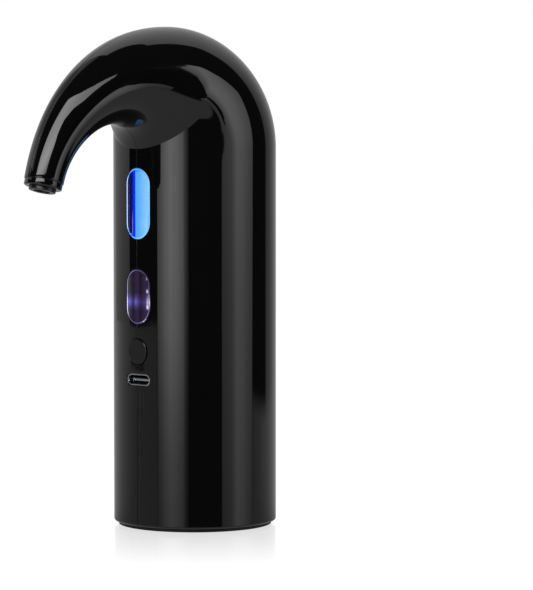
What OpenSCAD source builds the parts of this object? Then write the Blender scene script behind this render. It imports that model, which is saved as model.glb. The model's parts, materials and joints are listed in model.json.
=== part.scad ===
// Electric wine aerator that stands on a bottle neck, with a hook spout and a pump inside.
// Millimetres. The body axis is Z, the table is Z = 0, and the spout points to -Y.

/* [Body] */
// Outside diameter of the round body
body_d = 46; // [45:0.5:52]
// Wall of the two housing shells
wall = 2; // [1.6:0.1:2.4]
// Height of the crease between the body front and the spout's underside
crease_z = 106.5; // [105:0.5:114]
// Radius of the round shoulder at the back of the hood
shoulder_r = 34; // [28:0.5:40]
// Rounding of the shells' lower edge
lower_edge_r = 0.6; // [0.2:0.1:1]

/* [Spout] */
// Reach of the spout's end from the body axis
spout_reach = 58; // [50:0.2:70]
// Height of the spout's end above the table
spout_end_z = 98.2; // [90:0.2:102]
// Lean of the spout's end, forward of straight down
spout_lean = 15; // [10:1:30]
// Diameter of the spout's end
spout_end_d = 10.8; // [10.6:0.2:14]
// Wall of the spout at its end
spout_wall = 1.4; // [0.8:0.1:1.5]
// How far the arch under the spout heads up from the crease before it turns over
arch_lift = 13; // [10:0.5:15]
// Lean of the arch where it leaves the crease, forward of straight up
arch_turn = 12; // [0:1:30]
// How far the arch heads up from the spout's end before it turns over
arch_pull = 17; // [13:0.5:19]
// Share of the hood that fans about the crease before the arch begins
fan_share = 0.38; // [0.3:0.02:0.5]
// How slowly the arch leaves the crease
arch_ease = 1.45; // [1:0.05:1.8]
// Share of the hood in which the step at the crease fades out
crease_fade = 0.3; // [0.2:0.05:0.4]
// Height of the collar that closes the spout's end
collar_h = 1.9; // [1:0.1:3]
// Step from the spout's end to the collar
collar_step = 0.2; // [0.1:0.1:0.5]
// Outside diameter of the nozzle
nozzle_d = 7.4; // [6:0.1:7.6]
// Bore of the nozzle
nozzle_bore_d = 4.5; // [3:0.1:5]
// How far the nozzle shows below the collar
nozzle_show = 1; // [0.5:0.1:2]

/* [Windows] */
// Width of both pill-shaped windows
window_w = 9.1; // [7:0.1:11]
// Height of the upper window
upper_window_h = 19.8; // [16:0.2:22]
// Height of the upper window's centre
upper_window_z = 91.3; // [89:0.1:93]
// Height of the lower window
lower_window_h = 15.4; // [11:0.2:16]
// Height of the lower window's centre
lower_window_z = 65.4; // [63:0.1:68]
// Width of the windows' hidden rim
window_rim = 1.2; // [0.8:0.1:1.5]
// Thickness of the windows' hidden rim
window_rim_t = 0.7; // [0.5:0.1:0.9]

/* [Button] */
// Diameter of the button
button_d = 7.3; // [6:0.1:8]
// Gap round the button
button_gap = 0.15; // [0.1:0.05:0.3]
// Height of the button's centre
button_z = 50.1; // [49:0.1:51]
// Travel of the button
button_travel = 0.6; // [0.3:0.1:0.8]
// How far the button stands out of the body front
button_proud = 0.1; // [0:0.05:0.4]

/* [Charging port] */
// Width of the port's metal shell
port_w = 8.9; // [8:0.1:10]
// Height of the port's metal shell
port_h = 3.3; // [3:0.1:4]
// Sheet thickness of the port's metal shell
port_wall = 0.3; // [0.2:0.05:0.4]
// Depth of the port from its mouth to the board
port_depth = 8.6; // [8:0.1:9]
// Height of the port's centre
port_z = 42.2; // [41.5:0.1:43]
// How far the port's mouth lies inside the body front
port_recess = 0.6; // [0.3:0.1:1]

/* [Bottle end] */
// Height of the rubber foot
foot_h = 1; // [0.6:0.1:2]
// Step from the body to the foot
foot_inset = 1.3; // [0.8:0.1:1.6]
// Depth of the bottle socket above the foot
socket_depth = 25; // [22:0.5:26]
// Bore that grips the bottle neck
bottle_bore_d = 28.5; // [27:0.1:29]
// Thickness of the rubber bottle seal
seal_t = 1.15; // [0.9:0.05:1.2]
// Wall of the cup round the seal
cup_wall = 1.5; // [1.2:0.1:1.6]
// Thickness of the deck over the socket
deck_t = 2.5; // [2:0.1:3]
// Bore that takes the straw
straw_d = 6.1; // [5:0.1:6.4]

/* [Wine and air path] */
// Outside diameter of the clear aeration chamber
chamber_d = 9; // [8:0.1:9.4]
// Wall of the aeration chamber
chamber_wall = 0.8; // [0.6:0.1:1]
// Outside diameter of the wine hoses
wine_hose_d = 5; // [4.6:0.1:5.2]
// Outside diameter of the air hoses
air_hose_d = 4; // [3.6:0.1:4.2]
// Wall of the hoses
hose_wall = 0.65; // [0.5:0.05:0.7]

/* [Pump] */
// Diameter of the pump
pump_d = 22.6; // [21.6:0.1:23]
// Diameter of the motor
motor_d = 20; // [18:0.2:20.4]
// Length of the motor's can
motor_l = 18; // [16:0.5:20]
// Thickness of the rubber sleeve round the motor
sleeve_t = 1; // [0.6:0.1:1.4]
// Diameter of the motor shaft
shaft_d = 2; // [1.5:0.1:2.4]
// Tilt of the crank pin that rocks the drive plate
crank_tilt = 8; // [5:0.5:9]
// Diameter of the crank pin
crank_pin_d = 1.4; // [1:0.1:1.6]

/* [Battery] */
// Diameter of the battery cell
battery_d = 18; // [16:0.2:18.6]
// Length of the battery cell
battery_l = 35; // [32:0.5:36]

/* [Clearances] */
// Gap between fixed pieces that fit together
fit = 0.1; // [0.05:0.05:0.15]
// Running gap round shafts and pins
run_gap = 0.03; // [0.02:0.01:0.08]

/* [Hidden] */
$fn = 64;
over = 1;

// Housing
body_r = body_d / 2;
inner_r = body_r - wall;
shell_z = foot_h;
split_peg_r = 0.8;
split_boss_r = 1.6;
split_boss_l = 5;
split_boss_y = inner_r - split_boss_r + 0.4;
split_peg_l = 2.4;

// Hood profile in the middle plane, as [y, z]
hood_top = [body_r - shoulder_r, crease_z + shoulder_r];
crease = [-body_r, crease_z];
spout_end = [-spout_reach, spout_end_z];
spout_across = [-cos(spout_lean), sin(spout_lean)];
spout_back_end = spout_end + spout_across * spout_end_d / 2;
spout_front_end = spout_end - spout_across * spout_end_d / 2;
back_drop = hood_top - spout_back_end;
back_r = (back_drop * back_drop) / (2 * back_drop[1]);
back_centre = [hood_top[0], hood_top[1] - back_r];
back_bend = atan2(back_drop[0], spout_back_end[1] - back_centre[1]);
arch_leave = crease + arch_lift * [-sin(arch_turn), cos(arch_turn)];
arch_arrive = spout_front_end + arch_pull * [sin(spout_lean), cos(spout_lean)];
shoulder_len = shoulder_r * PI / 2;
back_len = back_r * back_bend * PI / 180;
hood_stations = 36;
hood_sides = 20;
crease_share = 13 / hood_stations;

// Bottle end
seal_r = bottle_bore_d / 2 + seal_t;
cup_in_r = seal_r + fit;
cup_r = cup_in_r + cup_wall;
plug_r = inner_r - 2 * fit;
plug_t = 3;
deck_z = foot_h + socket_depth;
deck_top = deck_z + deck_t;
gasket_t = 1.5;
gasket_in_r = 10.9;
seal_land = 12;
seal_groove_h = 1.2;
seal_groove_step = 3;
seal_groove_depth = 0.5;
seal_lead_in = 0.6;
screw_ring_r = (cup_r + inner_r) / 2;
screw_angles = [-45, 45, 135, 225];
screw_boss_r = (inner_r - cup_r) / 2 - 0.3;
screw_boss_h = 8;
screw_r = 0.95;
screw_head_r = 1.3;
screw_head_h = 1.2;
screw_l = 7;

// Straw socket and bottle air nipple
straw_r = straw_d / 2;
straw_at = [0, -6];
straw_body_r = straw_r + 1.15;
straw_drop = 10;
straw_neck_r = 2.3;
straw_nut_r = 4.2;
straw_nut_h = 2;
oring_cord_r = 0.45;
oring_flat = 0.15;
oring_mid_r = straw_r + fit / 5 + oring_cord_r - oring_flat;
oring_up = 2;
nipple_at = [-6.6, -5];
nipple_r = 1.7;
nipple_drop = 1.6;
nipple_shoulder_r = 2.4;
nipple_shoulder_h = 1;
valve_t = 0.55;
valve_l = 3.2;

// Hoses and barbs. The barb fits inside the hose's flat-sided bore.
hose_sides = 8;
hose_flat = cos(180 / hose_sides);
wine_hose_in_r = wine_hose_d / 2 - hose_wall;
air_hose_in_r = air_hose_d / 2 - hose_wall;
wine_barb_r = wine_hose_in_r * hose_flat - fit / 2;
air_barb_r = air_hose_in_r * hose_flat - fit / 2;
barb_wall = 0.55;
barb_l = 5;
short_barb_l = 2.2;

// Chamber, mixing block and cap
chamber_r = chamber_d / 2;
chamber_in_r = chamber_r - chamber_wall;
cap_wall = 0.85;
cap_r = chamber_r + fit / 2 + cap_wall;
window_in_r = inner_r - fit - window_rim_t;
chamber_y = -(window_in_r - 2 * fit - cap_r);
board_z0 = port_z - 6.2;
board_z1 = button_z + 4.7;
block_z = board_z1 + 0.7;
block_h = 6.5;
block_top = block_z + block_h;
block_half_w = 7.5;
block_screw_x = 6.3;
block_screw_up = 4.3;
chamber_seat = 1.5;
seal_ring_h = 0.8;
chamber_z = block_top - chamber_seat + seal_ring_h;
chamber_top = upper_window_z + upper_window_h / 2 + 1.7;
cap_skirt = 2;
cap_t = 2;
cap_z = chamber_top + seal_ring_h;
cap_top = cap_z + cap_t;
jet_r = 1.5;
jet_l = 6;

// Pump stack, from the battery up
pump_r = pump_d / 2;
motor_r = motor_d / 2;
grip_r = motor_r + sleeve_t + fit / 2;
ring_wall = 1.35;
ring_r = grip_r + ring_wall;
pump_side_gap = 1.1;
pump_y = inner_r - pump_side_gap - max(ring_r, pump_r);
holder_floor = 1.5;
holder_wall = 1.2;
tab_t = 0.2;
tab_w = 4;
cell_z = deck_top + holder_floor + tab_t;
cell_top = cell_z + battery_l;
cell_r = battery_d / 2;
split_boss_zs = [deck_top + 8.5, cell_top - 5.2];
cell_cap_h = 0.8;
motor_z = cell_top + 1.8;
end_cap_t = 2;
can_z = motor_z + end_cap_t;
can_t = 0.7;
motor_boss_r = 3;
motor_boss_h = 0.9;
can_top = can_z + motor_l;
shaft_r = shaft_d / 2;
magnet_t = 1.7;
magnet_in_r = motor_r - can_t - fit - magnet_t;
core_r = magnet_in_r - 0.5;
core_l = motor_l - 8;
core_z = can_z + 4;
crank_floor = 1.2;
crank_in_r = pump_r - 3;
hub_z = can_top + crank_floor + 0.4;
hub_h = 3.9;
hub_r = 4;
shaft_top = hub_z + 2;
pivot_z = hub_z + 7.2;
plate_r = crank_in_r - 1.1;
plate_t = 1;
plate_boss_r = 1.9;
plate_boss_l = 2.6;
crank_pin_down = 4.8;
crank_pin_up = 0.6;
crank_pin_r = crank_pin_d / 2;
cup_ring_r = plate_r - 2;
dome_r = 2.4;
dome_h = 1;
dome_room = 0.3;
stem_r = 0.6;
stem_hole_r = 1.1;
stem_l = 2.6;
diaphragm_t = 1;
diaphragm_z = pivot_z + plate_t / 2 + plate_r * sin(crank_tilt) + 0.3;
valve_z = diaphragm_z + diaphragm_t;
valve_plate_t = 2.5;
head_z = valve_z + valve_plate_t;
head_h = 5;
head_top = head_z + head_h;
head_room = 2.4;
flap_t = 0.4;
flap_r = 1.8;
pump_screw_ring = pump_r - 1.5;
pump_screw_r = 0.7;
pump_screw_l = 14;
pump_angles = [90, 210, 330];
nipple_l = 5.4;

// Chassis plate between the wine side and the pump side
plate_gap = 0.7;
pump_gap = 0.4;
frame_t = 1.4;
frame_back = pump_y - max(pump_r + pump_gap, ring_r - plate_gap);
frame_front = frame_back - frame_t;
frame_half_w = sqrt(inner_r * inner_r - frame_front * frame_front) - 0.7;
frame_top = cap_top - 0.3;
// Cut-outs for the bottle hose, the riser hose and the leads, each as [x0, x1, z0, z1]
frame_notches = [[-11, 5.5, deck_top - over, port_z - 1.2], [-3, 7.2, deck_top - over, button_z - 2.1],
    [-13.8, -10.1, port_z + 2.8, button_z + 1.4]];
guide_t = 1.3;
guide_in = 2;
guide_z = deck_top + 5.5;
guide_top = chamber_top - 3;
foot_tab_w = 4.3;
foot_tab_d = 8.9;
foot_tab_t = 2;
frame_screw_at = [frame_half_w - 2.2, frame_back + 5.5];
frame_screw_boss_r = 1.9;
frame_screw_l = 8;

// Light stack in front of the chassis
diffuser_t = 0.6;
led_t = 0.6;
light_board_t = 0.8;
light_gap = 0.2;
diffuser_y = chamber_y + chamber_r + light_gap;
led_y = diffuser_y + diffuser_t + light_gap;
light_board_y = led_y + led_t;
light_board_w = 8.8;
rail_w = 1.2;
rail_z = block_top + 1.5;
rail_top = chamber_top - cap_skirt - 0.4;
led_w = 2.8;
led_h = 3.5;
led_step = 6;

// Control board, port and switch
port_mouth_y = -(body_r - port_recess);
board_y = port_mouth_y + port_depth;
board_t = 1.2;
board_half_w = 10;
board_back = board_y + board_t;
posts = [[-8.6, port_z + 1.3], [-8.6, button_z + 2.9], [8.6, port_z - 2.2], [8.6, button_z + 0.9]];
post_r = 1.3;
board_screw_r = 0.65;
board_screw_l = 3.2;
board_screw_head_r = 1.1;
board_screw_head_h = 0.8;
button_r = button_d / 2;
button_hole_r = button_r + button_gap;
button_front = -(body_r + button_proud);
button_lip = 0.95;
button_lip_r = button_r + button_lip;
button_lip_y = -sqrt(inner_r * inner_r - button_lip_r * button_lip_r) + 0.3;
button_lip_t = 0.8;
stem_end_y = button_lip_y + button_lip_t + 1;
button_stem_r = 1.4;
switch_w = 6;
switch_front = board_y - 3.4;
plunger_r = 1.5;
plunger_hole_r = plunger_r + 0.1;
plunger_back = switch_front + 0.8;
switch_room = plunger_back + button_travel + 0.5;

// Air tee beside the mixing block, level with the jet's inlet
tee_at = [-15, frame_front - 3.4];
tee_z = block_z + 2.7;
tee_r = 1.9;
tee_half = 2.6;

// Routes of the hoses and leads. The ends follow the barbs; the points between are chosen.
riser_at = [4.5, -8.6];
spout_in = [0, sin(spout_lean), cos(spout_lean)];
nozzle_root = 1;
riser_route = [[straw_at[0], straw_at[1], deck_top + straw_nut_h + 0.1], [0, -6, 38], [0.5, -6.2, 40.5],
    [2, -7.2, 43.5], [3.7, -8.2, 46.5], [4.4, -8.55, 48.6], [4.5, -8.6, 50.4],
    [riser_at[0], riser_at[1], block_z - 0.1]];
spout_route = concat([[0, chamber_y, cap_top + 0.1], [0, chamber_y, cap_top + barb_l + 1],
    [0, chamber_y - 1, cap_top + 11], [0, chamber_y - 4.5, cap_top + 15.5]],
    [for (t = [0.53 : 0.07 : 0.85]) hood_centre(t)],
    [hose_end(nozzle_root + 6.4), hose_end(nozzle_root + 0.1)]);
pump_hose_route = [[0, pump_y, head_top + 0.1], [0, pump_y, head_top + nipple_l + 1], [-1, 6.5, 118],
    [-4, 3, 121], [-9, -3, 121], [-13, -7.4, 118], [-15, -9, 112], [-15, -9, 100], [-15, -9, 85],
    [-15, -9, 72], [tee_at[0], tee_at[1], tee_z + tee_half + 0.1]];
bottle_hose_route = [[tee_at[0], tee_at[1], tee_z - tee_half - 0.1], [-15, -9, 49], [-14.6, -8.9, 45],
    [-13, -8.6, 41.8], [-10.6, -7.9, 39.6], [-8.2, -6.6, 38.2], [-6.9, -5.4, 36.6],
    [nipple_at[0], nipple_at[1], deck_top + nipple_shoulder_h + barb_l + 0.2],
    [nipple_at[0], nipple_at[1], deck_top + nipple_shoulder_h + 0.1]];
jet_hose_route = [[tee_at[0] + tee_half + 0.1, tee_at[1], tee_z], [-block_half_w - 0.1, tee_at[1], tee_z]];
lead_r = 0.55;
lead_land_x = -5.5;
tab_reach = 11;
tab_low_z = deck_top + holder_floor;
battery_top_route = [[-tab_reach, pump_y, cell_top + tab_t / 2],
    [-tab_reach - 1.8, pump_y, cell_top + tab_t / 2], [-15, 4, 62], [-15, -0.5, 52]];
battery_low_route = [[-tab_reach, pump_y, tab_low_z + tab_t / 2],
    [-tab_reach - 1.8, pump_y, tab_low_z + tab_t / 2], [-14.5, 6, 33], [-15.4, 3, 38], [-14.8, 0, 43]];
motor_lead_at = [-motor_r - 0.1, pump_y, motor_z + end_cap_t / 2];
motor_near_route = [motor_lead_at + [0, -1, 0], motor_lead_at + [-1.9, -1, 0], [-13.4, 4, 66],
    [-13.4, 0.5, 60], [-13, -1.6, 54]];
motor_far_route = [motor_lead_at + [0, 2, 0], motor_lead_at + [-2.3, 2, 0], [-15.6, 7, 66.5],
    [-16.8, 3, 60], [-16.6, 0, 50]];

// Hood surfaces: t runs from the crease level, 0, to the spout's end, 1
function hood_back(t) =
    let (s = t * (shoulder_len + back_len))
    s <= shoulder_len
        ? hood_top + shoulder_r * [cos(90 * s / shoulder_len), sin(90 * s / shoulder_len) - 1]
        : let (b = back_bend * (s - shoulder_len) / back_len) back_centre + back_r * [-sin(b), cos(b)];

function hood_front(t) =
    let (f = t <= fan_share ? 0 : pow((t - fan_share) / (1 - fan_share), arch_ease), g = 1 - f)
    g * g * g * crease + 3 * f * g * g * arch_leave + 3 * f * f * g * arch_arrive + f * f * f * spout_front_end;

function hood_centre(t) =
    let (c = (hood_back(t) + hood_front(t)) / 2) [0, c[0], c[1]];

// One point of the hood's round section at t, at angle a from +X towards the back, inset from the skin
function hood_round(t, a, inset) =
    let (across = hood_back(t) - hood_front(t), r = norm(across) / 2 - inset, u = across / norm(across))
    hood_centre(t) + r * [cos(a), sin(a) * u[0], sin(a) * u[1]];

// How far the skin is pressed back: to the body's round below the crease, and less and less above it
function crease_press(t, a) =
    let (p = hood_round(min(t, crease_share), a, 0), w = max(0, min(1, (-6 - a) / 26)),
        left = max(0, 1 - max(0, t - crease_share) / crease_fade))
    w * w * (3 - 2 * w) * left * left * max(0, -sqrt(max(0, body_r * body_r - p[0] * p[0])) - p[1]);

// One point of the hood
function hood_point(t, a, inset) = hood_round(t, a, inset) + [0, crease_press(t, a), 0];

function hood_wall(t) = wall + (spout_wall - wall) * t;

// A place on the nozzle's axis, d above the spout's end
function hose_end(d) = [0, spout_end[0], spout_end[1]] + d * spout_in;

// The last run of a lead, through the chassis slot to the back of the board, at height z
function to_board(z) = [[-12, -3.2, z], [-11.8, -6.4, z], [-8.8, -8.8, z], [-6.2, -10, z],
    [lead_land_x, board_back + 1.3, z], [lead_land_x, board_back, z]];

function unit(v) = v / norm(v);

// Direction of a route at point i, halfway between its two runs
function heading(p, i) =
    let (n = len(p) - 1)
    i == 0 ? unit(p[1] - p[0])
        : i == n ? unit(p[n] - p[n - 1])
        : unit(unit(p[i + 1] - p[i]) + unit(p[i] - p[i - 1]));

// Side directions along a route, each carried over from the one before it
function side_start(p) =
    let (h = heading(p, 0)) unit(cross(h, abs(h[2]) > 0.7 ? [1, 0.2, 0] : [0, 0.2, 1]));

function sides(p, i = 0, last = undef) =
    i == len(p) ? []
        : let (h = heading(p, i), s0 = i == 0 ? side_start(p) : last, s = unit(s0 - h * (s0 * h)))
        concat([s], sides(p, i + 1, s));

function tube_ring(p, h, s, r, n) =
    [for (k = [0 : n - 1]) p + r * (cos(360 * k / n) * s + sin(360 * k / n) * cross(h, s))];

function tube_rings(p, r, n) =
    let (s = sides(p)) [for (i = [0 : len(p) - 1]) each tube_ring(p[i], heading(p, i), s[i], r, n)];

// Triangles of a grid of rings, skin outwards; first is the index of its first point
function skin(rings, n, first, step, closed) =
    [for (i = [0 : rings - 2], k = [0 : n - (closed ? 1 : 2)])
        let (a = first + i * n + k, b = first + i * n + (k + 1) % n, c = b + n, d = a + n)
        each step > 0 ? [[a, d, c], [a, c, b]] : [[a, b, c], [a, c, d]]];

// A hollow hose along a route
module hose(p, r, r_in) {
    n = hose_sides;
    m = len(p) * n;
    last = m - n;
    ends = [for (k = [0 : n - 1])
        let (j = (k + 1) % n)
        each [[k, j, m + j], [k, m + j, m + k],
            [last + j, last + k, m + last + k], [last + j, m + last + k, m + last + j]]];
    polyhedron(
        points = concat(tube_rings(p, r, n), tube_rings(p, r_in, n)),
        faces = concat(skin(len(p), n, 0, 1, true), skin(len(p), n, m, -1, true), ends),
        convexity = 10);
}

// A solid lead along a route
module lead(p, r) {
    n = hose_sides;
    last = (len(p) - 1) * n;
    ends = [for (k = [1 : n - 2]) each [[0, k, k + 1], [last, last + k + 1, last + k]]];
    polyhedron(
        points = tube_rings(p, r, n),
        faces = concat(skin(len(p), n, 0, 1, true), ends),
        convexity = 10);
}

// Half of the hood, on the +X side
module hood_half() {
    n = hood_sides + 1;
    rings = hood_stations + 1;
    m = rings * n;
    last = m - n;
    seams = [for (i = [0 : rings - 2])
        let (a = i * n, b = a + n, c = a + n - 1, d = b + n - 1)
        each [[m + a, m + b, b], [m + a, b, a], [c, d, m + d], [c, m + d, m + c]]];
    ends = [for (k = [0 : n - 2])
        each [[k, k + 1, m + k + 1], [k, m + k + 1, m + k],
            [last + k + 1, last + k, m + last + k], [last + k + 1, m + last + k, m + last + k + 1]]];
    function rings_at(inset) = [for (i = [0 : rings - 1], k = [0 : n - 1])
        let (t = i / hood_stations) hood_point(t, 180 * k / hood_sides - 90, inset * hood_wall(t))];
    polyhedron(
        points = concat(rings_at(0), rings_at(1)),
        faces = concat(skin(rings, n, 0, 1, false), skin(rings, n, m, -1, false), seams, ends),
        convexity = 10);
}

// An upright pill outline
module pill(w, h) {
    square([w, max(0.01, h - w)], center = true);
    for (s = [-1, 1]) translate([0, s * (h - w) / 2]) circle(d = w);
}

// Extrudes an outline, drawn facing the front, from y0 forward to y1
module from_front(z, y0, y1) {
    translate([0, y0, z]) rotate([90, 0, 0]) linear_extrude(y0 - y1) children();
}

// A round bar from y0 to y1, y1 being further back
module bar_y(x, z, r, y0, y1) {
    translate([x, y0, z]) rotate([-90, 0, 0]) cylinder(r = r, h = y1 - y0);
}

// A round bar from x0 to x1
module bar_x(y, z, r, x0, x1) {
    translate([x0, y, z]) rotate([0, 90, 0]) cylinder(r = r, h = x1 - x0);
}

// A box from its low corner to its high corner
module block(low, high) {
    translate(low) cube(high - low);
}

// An upright tube from z0 to z1
module pipe(r, r_in, z0, z1) {
    translate([0, 0, z0]) difference() {
        cylinder(r = r, h = z1 - z0);
        translate([0, 0, -over]) cylinder(r = r_in, h = z1 - z0 + 2 * over);
    }
}

// A screw that points down, with its head's underside at z
module screw_down(z, r, l, head_r, head_h) {
    translate([0, 0, z - l]) cylinder(r = r, h = l);
    translate([0, 0, z]) cylinder(r = head_r, h = head_h);
}

// Outline of one shell's wall, with its rounded lower edge
module shell_section() {
    translate([inner_r, shell_z + lower_edge_r]) square([wall, crease_z - shell_z - lower_edge_r]);
    translate([inner_r, shell_z]) square([wall - lower_edge_r, lower_edge_r]);
    translate([body_r - lower_edge_r, shell_z + lower_edge_r]) circle(r = lower_edge_r);
}

// Openings in the front wall of both shells
module front_openings() {
    from_front(upper_window_z, 0, -body_r - over) pill(window_w, upper_window_h);
    from_front(lower_window_z, 0, -body_r - over) pill(window_w, lower_window_h);
    from_front(button_z, 0, -body_r - over) circle(r = button_hole_r);
    from_front(port_z, 0, -body_r - over) rotate(90) pill(port_h + 4 * fit, port_w + 4 * fit);
}

// Screw boss of the base, with the web that joins it to the shell
module base_boss(a) {
    z0 = foot_h + plug_t;
    web = screw_boss_r * 1.4;
    rotate(a) difference() {
        union() {
            translate([screw_ring_r, 0, z0]) cylinder(r = screw_boss_r, h = screw_boss_h);
            block([screw_ring_r, -web / 2, z0], [inner_r + wall / 2, web / 2, z0 + screw_boss_h]);
        }
        translate([screw_ring_r, 0, z0 - over])
            cylinder(r = screw_r + fit / 2, h = screw_boss_h);
    }
}

// Two guide ribs that hold one edge of the chassis
module frame_guides() {
    x1 = inner_r + wall / 3;
    for (y = [frame_front - fit - guide_t, frame_back + fit])
        intersection() {
            block([frame_half_w - guide_in, y, guide_z], [x1, y + guide_t, guide_top]);
            cylinder(r = inner_r + wall / 2, h = guide_top + over);
        }
}

// Pegs and sockets at the back that line the two shells up
module split_bosses(length) {
    for (z = split_boss_zs) bar_x(split_boss_y, z, split_boss_r, 0, length);
}

// One shell, on the +X side
module shell_half() {
    difference() {
        rotate(-90) rotate_extrude(angle = 180) shell_section();
        front_openings();
    }
    hood_half();
    for (a = [-45, 45]) base_boss(a);
    frame_guides();
}

module left_shell() {
    color("#0b0b0d") {
        mirror([1, 0, 0]) {
            shell_half();
            split_bosses(split_boss_l);
        }
        for (z = split_boss_zs) bar_x(split_boss_y, z, split_peg_r, -over, split_peg_l);
    }
}

module right_shell() {
    color("#0c0c0e") {
        shell_half();
        difference() {
            split_bosses(split_boss_l);
            for (z = split_boss_zs) bar_x(split_boss_y, z, split_peg_r + fit / 2, -over, split_peg_l + 0.3);
        }
    }
}

module base_cup() {
    color("#141416") difference() {
        union() {
            translate([0, 0, foot_h]) cylinder(r = plug_r, h = plug_t);
            translate([0, 0, foot_h]) cylinder(r = cup_r, h = socket_depth);
            translate([0, 0, deck_z]) cylinder(r = plug_r, h = deck_t);
            for (s = [-1, 1])
                translate([s * frame_screw_at[0], frame_screw_at[1], deck_z - frame_screw_l])
                    cylinder(r = frame_screw_boss_r, h = frame_screw_l);
        }
        translate([0, 0, foot_h - over]) cylinder(r = cup_in_r, h = socket_depth + over);
        for (a = screw_angles)
            rotate(a) translate([screw_ring_r, 0, foot_h - over]) {
                cylinder(r = screw_r + 2 * fit, h = plug_t + 2 * over);
                cylinder(r = screw_head_r + fit, h = screw_head_h + 2 * fit + over);
            }
        for (s = [-1, 1])
            translate([s * frame_screw_at[0], frame_screw_at[1], deck_top - frame_screw_l])
                cylinder(r = screw_r + fit / 2, h = frame_screw_l + over);
        translate([straw_at[0], straw_at[1], deck_z - over])
            cylinder(r = straw_neck_r + fit, h = deck_t + 2 * over);
        translate([nipple_at[0], nipple_at[1], deck_z - over])
            cylinder(r = nipple_r + fit / 2, h = deck_t + 2 * over);
    }
}

module bottle_seal() {
    z0 = foot_h + 0.2;
    color("#2a2a2c") difference() {
        translate([0, 0, z0]) cylinder(r = seal_r, h = deck_z - z0);
        translate([0, 0, z0 - over])
            cylinder(d = bottle_bore_d, h = deck_z - gasket_t - z0 + over);
        translate([0, 0, z0]) cylinder(r = gasket_in_r, h = deck_z);
        for (i = [0 : 2])
            rotate_extrude()
                translate([bottle_bore_d / 2 - over, z0 + seal_land + i * seal_groove_step])
                    square([over + seal_groove_depth, seal_groove_h]);
        rotate_extrude()
            translate([bottle_bore_d / 2, z0])
                polygon([[-over, -over], [seal_lead_in, -over], [seal_lead_in, 0], [0, seal_lead_in],
                    [-over, seal_lead_in]]);
    }
}

module foot_ring() {
    color("#1b1b1d") pipe(body_r - foot_inset, cup_in_r + 0.5, 0, foot_h);
}

module base_screws() {
    color("#9a9ea3")
        for (a = screw_angles)
            rotate(a) translate([screw_ring_r, 0, foot_h + screw_head_h + fit]) rotate([180, 0, 0])
                screw_down(0, screw_r, screw_l, screw_head_r, screw_head_h);
}

// Places a piece on the nozzle's axis, with its own Z pointing out of the spout
module on_nozzle() {
    translate([0, spout_end[0], spout_end[1]]) rotate([180 - spout_lean, 0, 0]) children();
}

module nozzle_collar() {
    r = spout_end_d / 2 - collar_step;
    color("#0e0e10") on_nozzle() difference() {
        union() {
            cylinder(r = r, h = collar_h - 0.5);
            translate([0, 0, collar_h - 0.5]) cylinder(r1 = r, r2 = r - 0.4, h = 0.5);
        }
        translate([0, 0, -over]) cylinder(r = nozzle_d / 2 + fit / 2, h = collar_h + 2 * over);
    }
}

module nozzle() {
    reach = collar_h + nozzle_show;
    throat = reach + nozzle_root - 0.8;
    color("#19191b") on_nozzle() difference() {
        union() {
            translate([0, 0, -nozzle_root]) cylinder(r = nozzle_d / 2, h = reach + nozzle_root);
            translate([0, 0, -nozzle_root - barb_l]) cylinder(r = wine_barb_r, h = barb_l + over);
        }
        translate([0, 0, reach - throat]) cylinder(d = nozzle_bore_d, h = throat + over);
        translate([0, 0, -nozzle_root - barb_l - over])
            cylinder(r = wine_barb_r - barb_wall, h = barb_l + 2 * over + reach);
    }
}

// A clear window with the rim that sits behind the shell wall
module window(z, h, c) {
    color(c) intersection() {
        union() {
            from_front(z, 0, -body_r) pill(window_w - 2 * fit, h - 2 * fit);
            intersection() {
                from_front(z, 0, -body_r) pill(window_w + 2 * window_rim, h + 2 * window_rim);
                cylinder(r = inner_r - fit, h = crease_z);
            }
        }
        pipe(body_r - fit / 2, window_in_r, 0, crease_z);
    }
}

module upper_window() { window(upper_window_z, upper_window_h, "#4aa8ff"); }

module lower_window() { window(lower_window_z, lower_window_h, "#5b52c8"); }

module power_button() {
    edge = 0.4;
    color("#101012") {
        translate([0, button_front, button_z]) rotate([-90, 0, 0]) {
            cylinder(r1 = button_r - edge, r2 = button_r, h = edge);
            translate([0, 0, edge]) cylinder(r = button_r, h = button_lip_y - button_front - edge);
        }
        bar_y(0, button_z, button_lip_r, button_lip_y, button_lip_y + button_lip_t);
        bar_y(0, button_z, button_stem_r, button_lip_y, stem_end_y);
    }
}

module switch_plunger() {
    color("#303034") bar_y(0, button_z, plunger_r, stem_end_y, plunger_back);
}

module switch_body() {
    color("#3a3a3e") difference() {
        from_front(button_z, board_y, switch_front) square(switch_w, center = true);
        bar_y(0, button_z, plunger_hole_r, switch_front - over, plunger_back);
        bar_y(0, button_z, plunger_r + 0.8, plunger_back - 0.6, switch_room);
    }
}

// The snap dome under the plunger
module switch_dome() {
    color("#c8c8c4") difference() {
        bar_y(0, button_z, plunger_r + 0.6, switch_room - 0.3, switch_room);
        bar_y(0, button_z, plunger_r, switch_room - 0.15, switch_room + over);
    }
}

module charge_port() {
    color("#b9bcc0") from_front(port_z, board_y, port_mouth_y) difference() {
        rotate(90) pill(port_h, port_w);
        rotate(90) pill(port_h - 2 * port_wall, port_w - 2 * port_wall);
    }
}

module port_tongue() {
    w = port_w - 2 * port_wall - 2 * fit;
    h = port_h - 2 * port_wall - 2 * fit;
    color("#151517") {
        from_front(port_z, board_y, board_y - 2.4) rotate(90) pill(h, w);
        block([-w / 2 + 0.8, port_mouth_y + 1, port_z - 0.35], [w / 2 - 0.8, board_y - 2, port_z + 0.35]);
    }
}

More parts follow.
